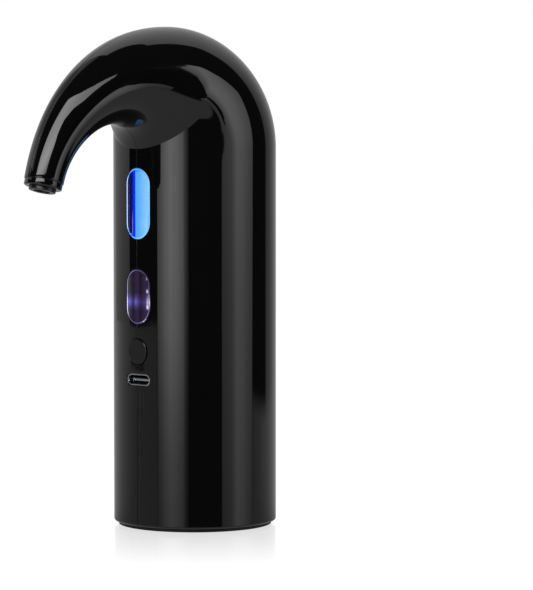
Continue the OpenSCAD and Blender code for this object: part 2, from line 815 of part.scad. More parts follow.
module control_board() {
    color("#1f5a34") difference() {
        block([-board_half_w, board_y, board_z0], [board_half_w, board_back, board_z1]);
        for (p = posts) bar_y(p[0], p[1], board_screw_r + fit, board_y - over, board_back + over);
    }
}

// Chips on the back of the board, each as [x, height on the board, width, height, thickness]
module board_components() {
    chips = [[1.5, 3.6, 4, 4, 0.9], [-3.4, 3.8, 3.4, 3.4, 1], [1.2, 10.2, 4.4, 3.4, 0.8],
        [2, 16, 3, 2.4, 0.7], [7.6, 9.4, 1.8, 1.2, 0.8], [-2.2, 16.6, 2, 1.2, 0.7]];
    color("#18181a")
        for (c = chips)
            translate([c[0], 0, 0])
                from_front(board_z0 + c[1], board_back + c[4], board_back)
                    square([c[2], c[3]], center = true);
}

// The screws that hold the board from the front and the mixing block from the back
module small_screws() {
    color("#9a9ea3") {
        for (p = posts) {
            bar_y(p[0], p[1], board_screw_head_r, board_y - board_screw_head_h, board_y);
            bar_y(p[0], p[1], board_screw_r, board_y - board_screw_head_h / 2, board_y + board_screw_l);
        }
        for (s = [-1, 1]) {
            x = s * block_screw_x;
            z = block_z + block_screw_up;
            bar_y(x, z, board_screw_head_r, frame_back, frame_back + board_screw_head_h);
            bar_y(x, z, board_screw_r, frame_back - board_screw_l, frame_back + board_screw_head_h / 2);
        }
    }
}

module straw_socket() {
    top = deck_top + straw_nut_h;
    color("#d9dbdd") translate([straw_at[0], straw_at[1], 0]) difference() {
        union() {
            translate([0, 0, deck_z - straw_drop]) cylinder(r = straw_body_r, h = straw_drop);
            translate([0, 0, deck_z - over]) cylinder(r = straw_neck_r, h = top - deck_z + over);
            translate([0, 0, top - over]) cylinder(r = wine_barb_r, h = barb_l + 1 + over);
        }
        translate([0, 0, deck_z - straw_drop - over]) cylinder(r = straw_r, h = straw_drop - 1 + over);
        translate([0, 0, deck_z - 2]) cylinder(r = wine_barb_r - barb_wall, h = top + barb_l + over);
        translate([0, 0, deck_z - straw_drop + oring_up - oring_cord_r - fit])
            cylinder(r = oring_mid_r + oring_cord_r + fit / 2, h = 2 * oring_cord_r + 2 * fit);
    }
}

module straw_nut() {
    color("#5d6066") translate([straw_at[0], straw_at[1], 0]) difference() {
        translate([0, 0, deck_top]) rotate(30) cylinder(r = straw_nut_r, h = straw_nut_h, $fn = 6);
        translate([0, 0, deck_top - over]) cylinder(r = straw_neck_r + fit / 2, h = straw_nut_h + 2 * over);
    }
}

module straw_oring() {
    color("#2a2a2c") translate([straw_at[0], straw_at[1], deck_z - straw_drop + oring_up])
        rotate_extrude() translate([oring_mid_r, 0])
            intersection() {
                circle(r = oring_cord_r);
                translate([oring_flat - oring_cord_r, -oring_cord_r]) square(2 * oring_cord_r);
            }
}

module bottle_air_nipple() {
    shoulder = deck_top + nipple_shoulder_h;
    color("#d9dbdd") translate([nipple_at[0], nipple_at[1], 0]) difference() {
        union() {
            translate([0, 0, deck_z - nipple_drop]) cylinder(r = nipple_r, h = deck_t + nipple_drop);
            translate([0, 0, deck_top]) cylinder(r = nipple_shoulder_r, h = nipple_shoulder_h);
            translate([0, 0, shoulder]) cylinder(r = air_barb_r, h = barb_l);
        }
        translate([0, 0, deck_z - nipple_drop - over])
            cylinder(r = air_barb_r - barb_wall, h = shoulder + barb_l);
    }
}

// Rubber sleeve with a slit bill, which lets air into the bottle and no wine back
module check_valve() {
    z0 = deck_z - nipple_drop - valve_l + 1.4;
    color("#b23a32") translate([nipple_at[0], nipple_at[1], z0]) difference() {
        cylinder(r = nipple_r + valve_t, h = valve_l);
        translate([0, 0, valve_t]) cylinder(r = nipple_r + fit / 4, h = valve_l);
        block([-nipple_r * 0.7, -0.08, -over], [nipple_r * 0.7, 0.08, valve_t + over]);
    }
}

module wine_riser_hose() {
    color("#e6e2dc") hose(riser_route, wine_hose_d / 2, wine_hose_in_r);
}

module mixing_block() {
    wine_z = block_top - 2.6;
    color("#c9ccd0") difference() {
        union() {
            translate([0, chamber_y, block_z]) cylinder(r = cap_r, h = block_h);
            block([-block_half_w, chamber_y + 2, block_z], [block_half_w, frame_front, block_top - 1]);
            translate([riser_at[0], riser_at[1], block_z - barb_l + 0.6])
                cylinder(r = wine_barb_r, h = barb_l);
            bar_x(tee_at[1], tee_z, air_barb_r, -block_half_w - short_barb_l, -block_half_w + over);
        }
        translate([0, chamber_y, block_top - chamber_seat]) cylinder(r = chamber_r + fit / 2, h = block_h);
        translate([0, chamber_y, block_top - chamber_seat - 2]) cylinder(r = chamber_in_r - 0.4, h = block_h);
        translate([0, chamber_y, block_z + 1]) cylinder(r = jet_r + fit / 2, h = block_h);
        translate([riser_at[0], riser_at[1], block_z - barb_l])
            cylinder(r = wine_barb_r - barb_wall, h = wine_z - block_z + barb_l);
        translate([riser_at[0], riser_at[1], wine_z - 0.6])
            rotate([90, 0, atan2(chamber_y - riser_at[1], -riser_at[0]) + 90])
                cylinder(r = 1, h = norm([riser_at[0], chamber_y - riser_at[1]]));
        bar_x(tee_at[1], tee_z, air_barb_r - barb_wall, -block_half_w - short_barb_l - over, 0.6);
        bar_y(0, tee_z, 0.6, chamber_y, tee_at[1]);
        for (s = [-1, 1])
            bar_y(s * block_screw_x, block_z + block_screw_up, board_screw_r + fit / 2,
                frame_back - board_screw_l - fit / 2, frame_front + over);
    }
}

module air_jet() {
    z0 = block_z + 1;
    color("#b08a4a") translate([0, chamber_y, z0]) difference() {
        union() {
            cylinder(r = jet_r, h = jet_l - 2.4);
            translate([0, 0, jet_l - 2.4]) cylinder(r1 = jet_r, r2 = 0.8, h = 2.4);
        }
        translate([0, 0, -over]) cylinder(r = 0.4, h = jet_l + 2 * over);
        bar_y(0, tee_z - z0, 0.5, 0, jet_r + over);
    }
}

module aeration_chamber() {
    color("#bcd8ff") translate([0, chamber_y, 0]) pipe(chamber_r, chamber_in_r, chamber_z, chamber_top);
}

module chamber_seals() {
    color("#2a2a2c") translate([0, chamber_y, 0]) {
        pipe(chamber_r, chamber_in_r, chamber_z - seal_ring_h, chamber_z);
        pipe(chamber_r, chamber_in_r, chamber_top, chamber_top + seal_ring_h);
    }
}

module chamber_cap() {
    color("#c9ccd0") translate([0, chamber_y, 0]) difference() {
        union() {
            translate([0, 0, chamber_top - cap_skirt])
                cylinder(r = cap_r, h = cap_top - chamber_top + cap_skirt);
            translate([0, 0, cap_top - over]) cylinder(r = wine_barb_r, h = barb_l + over);
        }
        translate([0, 0, chamber_top - cap_skirt - over])
            cylinder(r = chamber_r + fit / 2, h = cap_skirt + seal_ring_h + over);
        translate([0, 0, cap_z - over]) cylinder(r = wine_barb_r - barb_wall, h = cap_t + barb_l + 2 * over);
    }
}

module spout_hose() {
    color("#e6e2dc") hose(spout_route, wine_hose_d / 2, wine_hose_in_r);
}

module pump_air_hose() {
    color("#dfe3e6") hose(pump_hose_route, air_hose_d / 2, air_hose_in_r);
}

module air_tee() {
    bore = air_barb_r - barb_wall;
    reach = tee_half + barb_l;
    side = tee_half + short_barb_l;
    color("#d9dbdd") translate([tee_at[0], tee_at[1], tee_z]) difference() {
        union() {
            translate([0, 0, -tee_half]) cylinder(r = tee_r, h = 2 * tee_half);
            translate([0, 0, -reach]) cylinder(r = air_barb_r, h = 2 * reach);
            bar_x(0, 0, tee_r, 0, tee_half);
            bar_x(0, 0, air_barb_r, 0, side);
        }
        translate([0, 0, -reach - over]) cylinder(r = bore, h = 2 * reach + 2 * over);
        bar_x(0, 0, bore, 0, side + over);
    }
}

module jet_air_hose() {
    color("#dfe3e6") hose(jet_hose_route, air_hose_d / 2, air_hose_in_r);
}

module bottle_air_hose() {
    color("#dfe3e6") hose(bottle_hose_route, air_hose_d / 2, air_hose_in_r);
}

module motor_end_cap() {
    color("#e8e4d8") translate([0, pump_y, 0]) difference() {
        union() {
            translate([0, 0, motor_z]) cylinder(r = motor_r, h = end_cap_t);
            translate([0, 0, motor_z]) cylinder(r = motor_r - can_t - fit, h = end_cap_t + 1.4);
        }
        translate([0, 0, motor_z + 0.8]) cylinder(r = shaft_r + run_gap, h = motor_l);
    }
}

module motor_can() {
    color("#a9adb2") translate([0, pump_y, 0]) difference() {
        union() {
            translate([0, 0, can_z]) cylinder(r = motor_r, h = motor_l);
            translate([0, 0, can_top]) cylinder(r = motor_boss_r, h = motor_boss_h);
        }
        translate([0, 0, can_z - over]) cylinder(r = motor_r - can_t, h = motor_l - 1 + over);
        translate([0, 0, can_z]) cylinder(r = shaft_r + run_gap, h = motor_l + motor_boss_h + over);
    }
}

module motor_magnets() {
    color("#3c3c40") translate([0, pump_y, core_z - 0.5])
        for (a = [30, 210])
            rotate(a) rotate_extrude(angle = 120)
                translate([magnet_in_r, 0]) square([magnet_t, core_l + 1]);
}

module rotor() {
    slot_w = 1.4;
    color("#8c6a4a") translate([0, pump_y, 0]) {
        translate([0, 0, motor_z + 1]) cylinder(r = shaft_r, h = shaft_top - motor_z - 1);
        translate([0, 0, can_z + 1.9]) cylinder(r = shaft_r + 1.4, h = core_z - can_z - 1.6);
        difference() {
            translate([0, 0, core_z]) cylinder(r = core_r, h = core_l);
            for (a = pump_angles)
                rotate(a) translate([shaft_r + 2, -slot_w / 2, core_z - over])
                    cube([core_r, slot_w, core_l + 2 * over]);
        }
    }
}

// Places a piece on the tilted crank pin, with its own Z up the pin and the pivot at its origin
module on_crank() {
    translate([0, pump_y, pivot_z]) rotate([0, -crank_tilt, 0]) children();
}

module eccentric_hub() {
    color("#f0ede4") difference() {
        translate([0, pump_y, hub_z]) cylinder(r = hub_r, h = hub_h);
        translate([0, pump_y, hub_z - over])
            cylinder(r = shaft_r + fit / 10, h = shaft_top - hub_z + over + fit);
        on_crank() translate([0, 0, -crank_pin_down - fit])
            cylinder(r = crank_pin_r + fit / 10, h = crank_pin_down);
    }
}

module crank_pin() {
    color("#c4c7ca") on_crank()
        translate([0, 0, -crank_pin_down]) cylinder(r = crank_pin_r, h = crank_pin_down + crank_pin_up);
}

module drive_plate() {
    color("#e6e9ec") on_crank() difference() {
        union() {
            translate([0, 0, -plate_t / 2]) cylinder(r = plate_r, h = plate_t);
            translate([0, 0, -plate_boss_l]) cylinder(r = plate_boss_r, h = plate_boss_l);
        }
        translate([0, 0, -plate_boss_l - over])
            cylinder(r = crank_pin_r + run_gap, h = plate_boss_l + plate_t + 2 * over);
        for (a = pump_angles)
            rotate(a + 60) translate([cup_ring_r, 0, -plate_t]) cylinder(r = stem_hole_r, h = 2 * plate_t);
    }
}

// Holes for the three pump screws
module pump_screw_holes(z0, z1) {
    for (a = pump_angles)
        rotate(a) translate([pump_screw_ring, 0, z0]) cylinder(r = pump_screw_r + fit, h = z1 - z0);
}

module pump_body() {
    color("#d5d8db") translate([0, pump_y, 0]) difference() {
        translate([0, 0, can_top]) cylinder(r = pump_r, h = diaphragm_z - can_top);
        translate([0, 0, can_top + crank_floor]) cylinder(r = crank_in_r, h = diaphragm_z);
        translate([0, 0, can_top - over]) cylinder(r = motor_boss_r + fit, h = crank_floor + 2 * over);
        pump_screw_holes(head_top - pump_screw_l - 0.5, diaphragm_z + over);
    }
}

module diaphragm() {
    color("#3a3a3c") translate([0, pump_y, 0]) difference() {
        union() {
            translate([0, 0, diaphragm_z]) cylinder(r = pump_r, h = diaphragm_t);
            for (a = pump_angles)
                rotate(a + 60) translate([cup_ring_r, 0, diaphragm_z - stem_l]) {
                    cylinder(r = stem_r, h = stem_l + diaphragm_t / 2);
                    translate([0, 0, stem_l]) cylinder(r = dome_r, h = diaphragm_t + dome_h);
                }
        }
        pump_screw_holes(diaphragm_z - over, valve_z + over);
    }
}

module valve_plate() {
    color("#c3c7cb") translate([0, pump_y, 0]) difference() {
        translate([0, 0, valve_z]) cylinder(r = pump_r, h = valve_plate_t);
        for (a = pump_angles)
            rotate(a + 60) translate([cup_ring_r, 0, valve_z]) {
                translate([0, 0, -over]) cylinder(r = dome_r + dome_room, h = dome_h + dome_room + over);
                for (x = [-1.2, 1.2]) translate([x, 0, 0]) cylinder(r = 0.4, h = valve_plate_t + over);
            }
        pump_screw_holes(valve_z - over, head_z + over);
    }
}

module valve_flaps() {
    color("#7a2f2a") translate([0, pump_y, head_z])
        for (a = pump_angles)
            rotate(a + 60) translate([cup_ring_r, 0, 0]) cylinder(r = flap_r, h = flap_t);
}

module pump_head() {
    edge = 0.8;
    color("#d5d8db") translate([0, pump_y, 0]) difference() {
        union() {
            translate([0, 0, head_z]) cylinder(r = pump_r, h = head_h - edge);
            translate([0, 0, head_top - edge]) cylinder(r1 = pump_r, r2 = pump_r - edge, h = edge);
            translate([0, 0, head_top - over]) cylinder(r = air_barb_r, h = nipple_l + over);
        }
        translate([0, 0, head_z - over]) cylinder(r = crank_in_r, h = head_room + over);
        translate([0, 0, head_z]) cylinder(r = air_barb_r - barb_wall, h = head_h + nipple_l + over);
        pump_screw_holes(head_z - over, head_top + over);
    }
}

module pump_screws() {
    color("#8f9398") translate([0, pump_y, 0])
        for (a = pump_angles)
            rotate(a) translate([pump_screw_ring, 0, 0])
                screw_down(head_top, pump_screw_r, pump_screw_l, 1.3, 1);
}

module pump_sleeve() {
    color("#262628") translate([0, pump_y, 0])
        pipe(motor_r + sleeve_t, motor_r + fit / 2, can_z + 1, can_top - 1);
}

module battery_cell() {
    color("#3f6fb5") translate([0, pump_y, cell_z]) {
        cylinder(r = cell_r, h = battery_l - cell_cap_h);
        cylinder(r = 2.8, h = battery_l);
    }
}

// Nickel tabs under and over the cell
module battery_tabs() {
    color("#c9c6bc")
        for (z = [tab_low_z, cell_top])
            block([-tab_reach, pump_y - tab_w / 2, z], [tab_w / 2, pump_y + tab_w / 2, z + tab_t]);
}

module battery_holder() {
    r = cell_r + 2 * fit;
    h = battery_l - 5;
    floor_z = deck_top + holder_floor;
    mouth = cell_r * 0.8;
    nut_back = straw_at[1] + straw_nut_r + 0.5;
    tab_room = tab_w / 2 + 2 * fit;
    color("#232326") difference() {
        translate([0, pump_y, deck_top]) cylinder(r = r + holder_wall, h = h);
        translate([0, pump_y, floor_z]) cylinder(r = r, h = h);
        block([-mouth, pump_y - 2 * cell_r, floor_z], [mouth, pump_y - cell_r * 0.6, deck_top + h + over]);
        block([-cell_r, pump_y - 2 * cell_r, deck_top - over], [cell_r, nut_back, floor_z + over]);
        block([-tab_reach, pump_y - tab_room, floor_z], [0, pump_y + tab_room, deck_top + h + over]);
    }
}

module battery_leads() {
    color("#b3261e") {
        lead(concat(battery_top_route, to_board(49.1)), lead_r);
        lead(concat(battery_low_route, to_board(46.1)), lead_r);
    }
}

module motor_leads() {
    color("#c7a21a") {
        lead(concat(motor_near_route, to_board(50.6)), lead_r);
        lead(concat(motor_far_route, to_board(47.6)), lead_r);
    }
}

module light_board() {
    color("#e9ebee")
        block([-light_board_w / 2, light_board_y, rail_z],
            [light_board_w / 2, light_board_y + light_board_t, rail_top]);
}

module upper_led() {
    color("#3f8cff")
        for (i = [-1 : 1])
            from_front(upper_window_z - 1 + i * led_step, light_board_y, led_y)
                square([led_w, led_h], center = true);
}

module lower_led() {
    color("#7a5cff")
        for (i = [0 : 1])
            from_front(rail_z + led_h + i * led_step, light_board_y, led_y)
                square([led_w, led_h], center = true);
}

module light_diffuser() {
    half = light_board_w / 2 + fit + rail_w;
    color("#f4f6f8") block([-half, diffuser_y, rail_z], [half, diffuser_y + diffuser_t, rail_top]);
}

// Rails that carry the light board and the diffuser, on the +X side
module light_rail() {
    rail_in = light_board_w / 2 + fit;
    ledge = 0.9;
    block([rail_in, diffuser_y + diffuser_t, rail_z], [rail_in + rail_w, frame_back, rail_top]);
    block([rail_in - ledge, light_board_y + light_board_t, rail_z], [rail_in + rail_w, frame_back, rail_top]);
}

// Foot on the deck, on the +X side
module frame_foot() {
    translate([frame_screw_at[0] - foot_tab_w / 2, frame_front, deck_top])
        cube([foot_tab_w, foot_tab_d, foot_tab_t]);
}

// Holes and notches of the chassis
module frame_cuts() {
    for (p = posts)
        bar_y(p[0], p[1], board_screw_r + fit / 2, board_back - over, board_back + board_screw_l);
    for (s = [-1, 1]) {
        bar_y(s * block_screw_x, block_z + block_screw_up, board_screw_r + fit,
            frame_front - over, frame_back + over);
        translate([s * frame_screw_at[0], frame_screw_at[1], deck_top - over])
            cylinder(r = screw_r + 2 * fit, h = foot_tab_t + 2 * over);
    }
    for (n = frame_notches)
        block([n[0], frame_front - over, n[2]], [n[1], frame_back + over, n[3]]);
}

// Plate, feet, pump ring, light rails, board posts and the rest behind the chamber cap
module chassis() {
    grip_z = can_z + 3;
    grip_h = motor_l - 8;
    color("#4a4d52") difference() {
        union() {
            block([-frame_half_w, frame_front, deck_top], [frame_half_w, frame_back, frame_top]);
            for (s = [0, 1]) mirror([s, 0, 0]) {
                light_rail();
                frame_foot();
            }
            translate([0, pump_y, grip_z]) cylinder(r = ring_r, h = grip_h);
            for (p = posts) bar_y(p[0], p[1], post_r, board_back, frame_back);
            block([-3, chamber_y + cap_r + fit / 2, cap_z - 2.5], [3, frame_back, frame_top]);
        }
        frame_cuts();
        translate([0, pump_y, grip_z - over]) cylinder(r = grip_r, h = grip_h + 2 * over);
    }
}

module chassis_screws() {
    color("#9a9ea3")
        for (s = [-1, 1])
            translate([s * frame_screw_at[0], frame_screw_at[1], 0])
                screw_down(deck_top + foot_tab_t, screw_r, frame_screw_l + foot_tab_t - 0.5,
                    screw_head_r + 0.3, screw_head_h);
}

left_shell();
right_shell();
base_cup();
bottle_seal();
foot_ring();
base_screws();
nozzle_collar();
nozzle();
upper_window();
lower_window();
power_button();
switch_plunger();
switch_body();
switch_dome();
charge_port();
port_tongue();
control_board();
board_components();
small_screws();
straw_socket();
straw_nut();
straw_oring();
bottle_air_nipple();
check_valve();
wine_riser_hose();
mixing_block();
air_jet();
aeration_chamber();
chamber_seals();
chamber_cap();
spout_hose();
pump_air_hose();
air_tee();
jet_air_hose();
bottle_air_hose();
motor_end_cap();
motor_can();
motor_magnets();
rotor();
eccentric_hub();
crank_pin();
drive_plate();
pump_body();
diaphragm();
valve_plate();
valve_flaps();
pump_head();
pump_screws();
pump_sleeve();
battery_cell();
battery_tabs();
battery_holder();
battery_leads();
motor_leads();
light_board();
upper_led();
lower_led();
light_diffuser();
chassis();
chassis_screws();
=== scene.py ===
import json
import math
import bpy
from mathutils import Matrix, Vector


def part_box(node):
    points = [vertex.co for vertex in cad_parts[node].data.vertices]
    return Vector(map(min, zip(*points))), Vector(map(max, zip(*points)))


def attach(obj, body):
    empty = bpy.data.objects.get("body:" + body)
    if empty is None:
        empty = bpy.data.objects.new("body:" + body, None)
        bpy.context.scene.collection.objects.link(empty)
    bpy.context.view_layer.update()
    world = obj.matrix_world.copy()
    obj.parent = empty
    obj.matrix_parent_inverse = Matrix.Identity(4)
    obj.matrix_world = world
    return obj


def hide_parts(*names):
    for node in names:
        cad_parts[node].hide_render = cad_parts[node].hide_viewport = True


bl_info = {
    "name": "Electric wine aerator",
    "version": (1, 0, 0),
    "blender": (4, 5, 0),
    "location": "View3D > Sidebar > Aerator",
    "description": "Dresses the aerator's construction frame with moulded shells, lit windows and finishes",
    "category": "Object",
}

import bmesh
import bpy
from mathutils import Matrix, Vector

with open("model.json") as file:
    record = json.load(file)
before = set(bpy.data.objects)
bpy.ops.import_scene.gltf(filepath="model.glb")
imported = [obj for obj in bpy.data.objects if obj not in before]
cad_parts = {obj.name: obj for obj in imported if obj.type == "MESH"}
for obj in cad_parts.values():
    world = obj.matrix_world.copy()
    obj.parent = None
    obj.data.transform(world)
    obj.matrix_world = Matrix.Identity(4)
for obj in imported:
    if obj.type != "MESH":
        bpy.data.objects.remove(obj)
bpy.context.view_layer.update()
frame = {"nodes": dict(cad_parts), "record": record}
NODE_SLOTS = {part["node"]: part["material_slot"] for part in frame["record"]["subparts"]}

MM = 0.001
# Distances under which two places count as one: as computed, after a bmesh operator, and to merge
NEAR, CLOSE, MERGE = 1e-7, 1e-6, 2e-6
SHARP = math.radians(35)
ACROSS = Vector((1, 0, 0))
# The Mix node's colour sockets
COLOUR_A, COLOUR_B, COLOUR_OUT = 6, 7, 2
WHITE = (1, 1, 1, 1)

SHELL_LOW, SHELL_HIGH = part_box("right_shell")
BUTTON_LOW, BUTTON_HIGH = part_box("power_button")
PORT_LOW, PORT_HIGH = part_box("charge_port")
TONGUE_LOW, TONGUE_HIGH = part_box("port_tongue")
FOOT_LOW, FOOT_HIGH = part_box("foot_ring")
UPPER_LOW, UPPER_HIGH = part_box("upper_window")
LOWER_LOW, LOWER_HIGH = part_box("lower_window")
WINDOW_W = 9.1 * MM

# The photograph's frame, in pixels
FRAME_W, FRAME_H = 533, 590


def linear(code):
    """An sRGB hex colour as the linear colour that a shader takes."""
    shares = [int(code[i:i + 2], 16) / 255 for i in (1, 3, 5)]
    return [c / 12.92 if c <= 0.04045 else ((c + 0.055) / 1.055) ** 2.4 for c in shares]


def length(name, description, default):
    return bpy.props.FloatProperty(
        name=name, description=description, default=default, unit="LENGTH", precision=5
    )


def turn(name, description, default):
    return bpy.props.FloatProperty(name=name, description=description, default=default, unit="ROTATION")


def share(name, description, default):
    return bpy.props.FloatProperty(name=name, description=description, default=default)


def colour(name, description, code):
    return bpy.props.FloatVectorProperty(
        name=name, description=description, default=linear(code), subtype="COLOR", size=3, min=0, max=1
    )


class HousingSizes(bpy.types.PropertyGroup):
    """Sizes of the two shells and the spout's end."""

    body_radius: length("Body radius", "Outside radius of the round body", SHELL_HIGH.x)
    wall: length("Wall", "Wall of the shells", 2 * MM)
    floor_gap: length("Floor gap", "Height of the shells' lower edge over the table", SHELL_LOW.z)
    lower_round: length("Lower rounding", "Rounding of the shells' lower edge", 0.6 * MM)
    crease_height: length("Crease height", "Height of the crease under the spout", 106.5 * MM)
    shoulder_radius: length("Shoulder radius", "Radius of the shoulder at the back of the hood", 34 * MM)
    spout_reach: length("Spout reach", "Reach of the spout's end from the body's axis", 58 * MM)
    spout_height: length("Spout height", "Height of the spout's end", 98.2 * MM)
    spout_lean: turn("Spout lean", "Lean of the spout's end, forward of straight down", math.radians(15))
    spout_radius: length("Spout radius", "Radius of the spout's end", 5.4 * MM)
    spout_wall: length("Spout wall", "Wall of the shells at the spout's end", 1.4 * MM)
    arch_lift: length("Arch lift", "How far the arch heads up from the crease", 13 * MM)
    arch_turn: turn("Arch turn", "Lean of the arch where it leaves the crease", math.radians(12))
    arch_pull: length("Arch pull", "How far the arch heads up from the spout's end", 17 * MM)
    fan_share: share("Fan share", "Share of the hood that fans about the crease", 0.38)
    arch_ease: share("Arch ease", "How slowly the arch leaves the crease", 1.45)
    crease_share: share(
        "Crease share", "Share of the hood that keeps the body's round, up to the crease", 13 / 36
    )
    crease_fade: share("Crease fade", "Share of the hood in which the step at the crease fades out", 0.3)
    seam: length("Seam half gap", "Half of the seam between the shells, at the surface", 0.15 * MM)
    edge_round: length("Edge rounding", "Rounding of the seam and of the openings", 0.11 * MM)
    collar_radius: length("Collar radius", "Radius of the collar that closes the spout", 5.2 * MM)
    collar_height: length("Collar height", "Height of the collar", 1.9 * MM)
    nozzle_radius: length("Nozzle radius", "Outside radius of the nozzle", 3.7 * MM)
    nozzle_bore: length("Nozzle bore", "Radius of the nozzle's bore", 2.25 * MM)
    nozzle_show: length("Nozzle show", "How far the nozzle shows below the collar", 1 * MM)


class FrontSizes(bpy.types.PropertyGroup):
    """Sizes of what sits in the front of the body."""

    window_width: length("Window width", "Width of both windows' holes", WINDOW_W)
    window_rim: length("Window rim", "Hidden rim round each window", UPPER_HIGH.x - WINDOW_W / 2)
    window_gap: length("Window gap", "Clearance of a window in its hole", 0.1 * MM)
    window_back: length("Window back", "Radius of the windows' back face", 20.2 * MM)
    window_seat: length("Window seat", "Radius at which the hidden rim meets the shell", 20.9 * MM)
    window_front: length("Window front", "Radius of the windows' front face", -UPPER_LOW.y)
    button_radius: length("Button radius", "Radius of the button's face", 3.6 * MM)
    button_gap: length("Button gap", "Gap round the button", 0.2 * MM)
    button_round: length("Button rounding", "Rounding of the button's edge", 0.22 * MM)
    button_stem: length("Button stem", "Radius of the button's stem", 1.4 * MM)
    port_wall: length("Port wall", "Thickness of the port's metal shell", 0.36 * MM)
    port_gap: length("Port gap", "Gap between the port and the shells", 0.1 * MM)
    foot_bore: length("Foot bore", "Radius of the hole in the foot ring", 16 * MM)


class StudioSizes(bpy.types.PropertyGroup):
    """The camera and the soft light."""

    camera_azimuth: turn(
        "Camera azimuth", "Direction of the camera, to the right of the front", math.radians(44.5)
    )
    camera_distance: length("Camera distance", "Distance of the camera from the body's axis", 0.9)
    camera_height: length("Camera height", "Height of the camera over the table", 0.1197)
    focal_pixels: share("Focal length", "Focal length in pixels of the photograph", 3179)
    aim_right: share("Aim right", "How far the camera aims right of the axis, in pixels", 71.8)
    aim_down: share("Aim down", "How far the camera aims below the horizon, in pixels", 193.8)
    tent_radius: length("Tent radius", "Radius of the white tent behind the object", 0.9)
    box_distance: length("Box distance", "Distance of the soft boxes", 0.75)
    light_height: length("Light height", "Height from which the soft boxes' angles are taken", 0.095)


class FinishColours(bpy.types.PropertyGroup):
    """Colours that show."""

    gloss_black: colour("Gloss black", "Moulded shells, collar and button", "#060607")
    matte_black: colour("Matte black", "Nozzle, base cup and holders", "#0c0c0d")
    rubber_black: colour("Rubber black", "Foot ring, seals and sleeve", "#060607")
    azure: colour("Azure", "Lit film behind the upper window", "#5ab4ff")
    pale_azure: colour("Pale azure", "Brightest part of the upper window", "#98d4ff")
    deep_blue: colour("Deep blue", "Saturated edge of the upper window's light", "#0a28ff")
    navy: colour("Navy", "Unlit side of the upper window", "#050e56")
    violet: colour("Violet", "Glow in the lower window", "#766cd4")
    dusk: colour("Dusk", "Unlit depth of the lower window", "#2f2440")
    darkest_shade: colour("Darkest shade", "Darkest streak in the lower window", "#1c1317")
    foam_highlights: colour("Foam highlights", "Foam in the lower window", "#f4f0ff")


def shown(values):
    """A colour with the alpha that a socket wants."""
    return [*values, 1]


def put(tree, kind, sockets=None, stops=None, **settings):
    """Adds a node with its settings and ramp stops.

    A socket takes a value, another node's output, or a node that stands for its first output. A stop takes
    a colour, or a number for a grey."""
    made = tree.nodes.new(kind)
    for key, value in settings.items():
        setattr(made, key, value)
    for key, value in (sockets or {}).items():
        if isinstance(value, bpy.types.Node):
            value = value.outputs[0]
        if isinstance(value, bpy.types.NodeSocket):
            tree.links.new(value, made.inputs[key])
        else:
            made.inputs[key].default_value = value
    if stops:
        ends = made.color_ramp.elements
        while len(ends) < len(stops):
            ends.new(1)
        for end, (place, value) in zip(ends, stops):
            end.position = place
            end.color = shown([value] * 3 if isinstance(value, (int, float)) else value)
    return made


def new_finish(name):
    """A material, its node tree, and the place on the piece that its patterns read."""
    made = bpy.data.materials.new(name)
    made.use_nodes = True
    tree = made.node_tree
    tree.nodes.clear()
    return made, tree, put(tree, "ShaderNodeTexCoord").outputs["Object"]


def close(made, shader):
    """Joins the finished shader to the material's output."""
    put(made.node_tree, "ShaderNodeOutputMaterial", {"Surface": shader})
    return made


def moulded(name, base, rough, grain, depth, ior=1.53, clear=0.0, soft=0.0):
    """Moulded plastic or rubber: the tool's grain lifts the surface and varies its gloss and shade.

    The grain's width and depth are in millimetres."""
    grain_w, patch_w, spread, darker, lighter = grain * MM, 12 * (grain * MM), 0.3, 0.86, 1.14
    made, tree, here = new_finish(name)
    wide = put(tree, "ShaderNodeTexNoise", {"Vector": here, "Scale": 1 / patch_w, "Detail": 3})
    fine = put(tree, "ShaderNodeTexNoise", {"Vector": here, "Scale": 1 / grain_w, "Detail": 2})
    gloss = put(tree, "ShaderNodeMapRange", {
        "Value": wide, "To Min": rough * (1 - spread), "To Max": rough * (1 + spread),
    })
    shade = put(tree, "ShaderNodeValToRGB", {"Fac": wide}, stops=[
        (0.25, [darker * c for c in base]), (0.75, [min(1, lighter * c) for c in base]),
    ])
    lift = put(tree, "ShaderNodeBump", {"Height": fine, "Strength": 1, "Distance": depth * MM})
    return close(made, put(tree, "ShaderNodeBsdfPrincipled", {
        "Base Color": shade, "Roughness": gloss, "IOR": ior,
        "Normal": lift, "Transmission Weight": clear, "Subsurface Weight": soft,
        "Subsurface Radius": (MM, MM, MM), "Subsurface Scale": 0.5,
    }))


def metal(name, base, rough, line):
    """Rolled or drawn metal: fine lines along Z vary its gloss, with a faint darker mottle.

    The lines' width is in millimetres."""
    line_w, stretch, mottle_share, spread, darker = line * MM, 0.05, 0.03, 0.4, 0.8
    made, tree, here = new_finish(name)
    drawn = put(tree, "ShaderNodeMapping", {"Vector": here, "Scale": (1, 1, stretch)})
    lines = put(tree, "ShaderNodeTexNoise", {"Vector": drawn, "Scale": 1 / line_w, "Detail": 2})
    mottle = put(tree, "ShaderNodeTexNoise", {"Vector": here, "Scale": mottle_share / line_w})
    gloss = put(tree, "ShaderNodeMapRange", {
        "Value": lines, "To Min": rough * (1 - spread), "To Max": rough * (1 + spread),
    })
    shade = put(tree, "ShaderNodeValToRGB", {"Fac": mottle}, stops=[
        (0.2, [darker * c for c in base]), (0.7, base),
    ])
    return close(made, put(tree, "ShaderNodeBsdfPrincipled", {
        "Base Color": shade, "Roughness": gloss, "Metallic": 1,
    }))


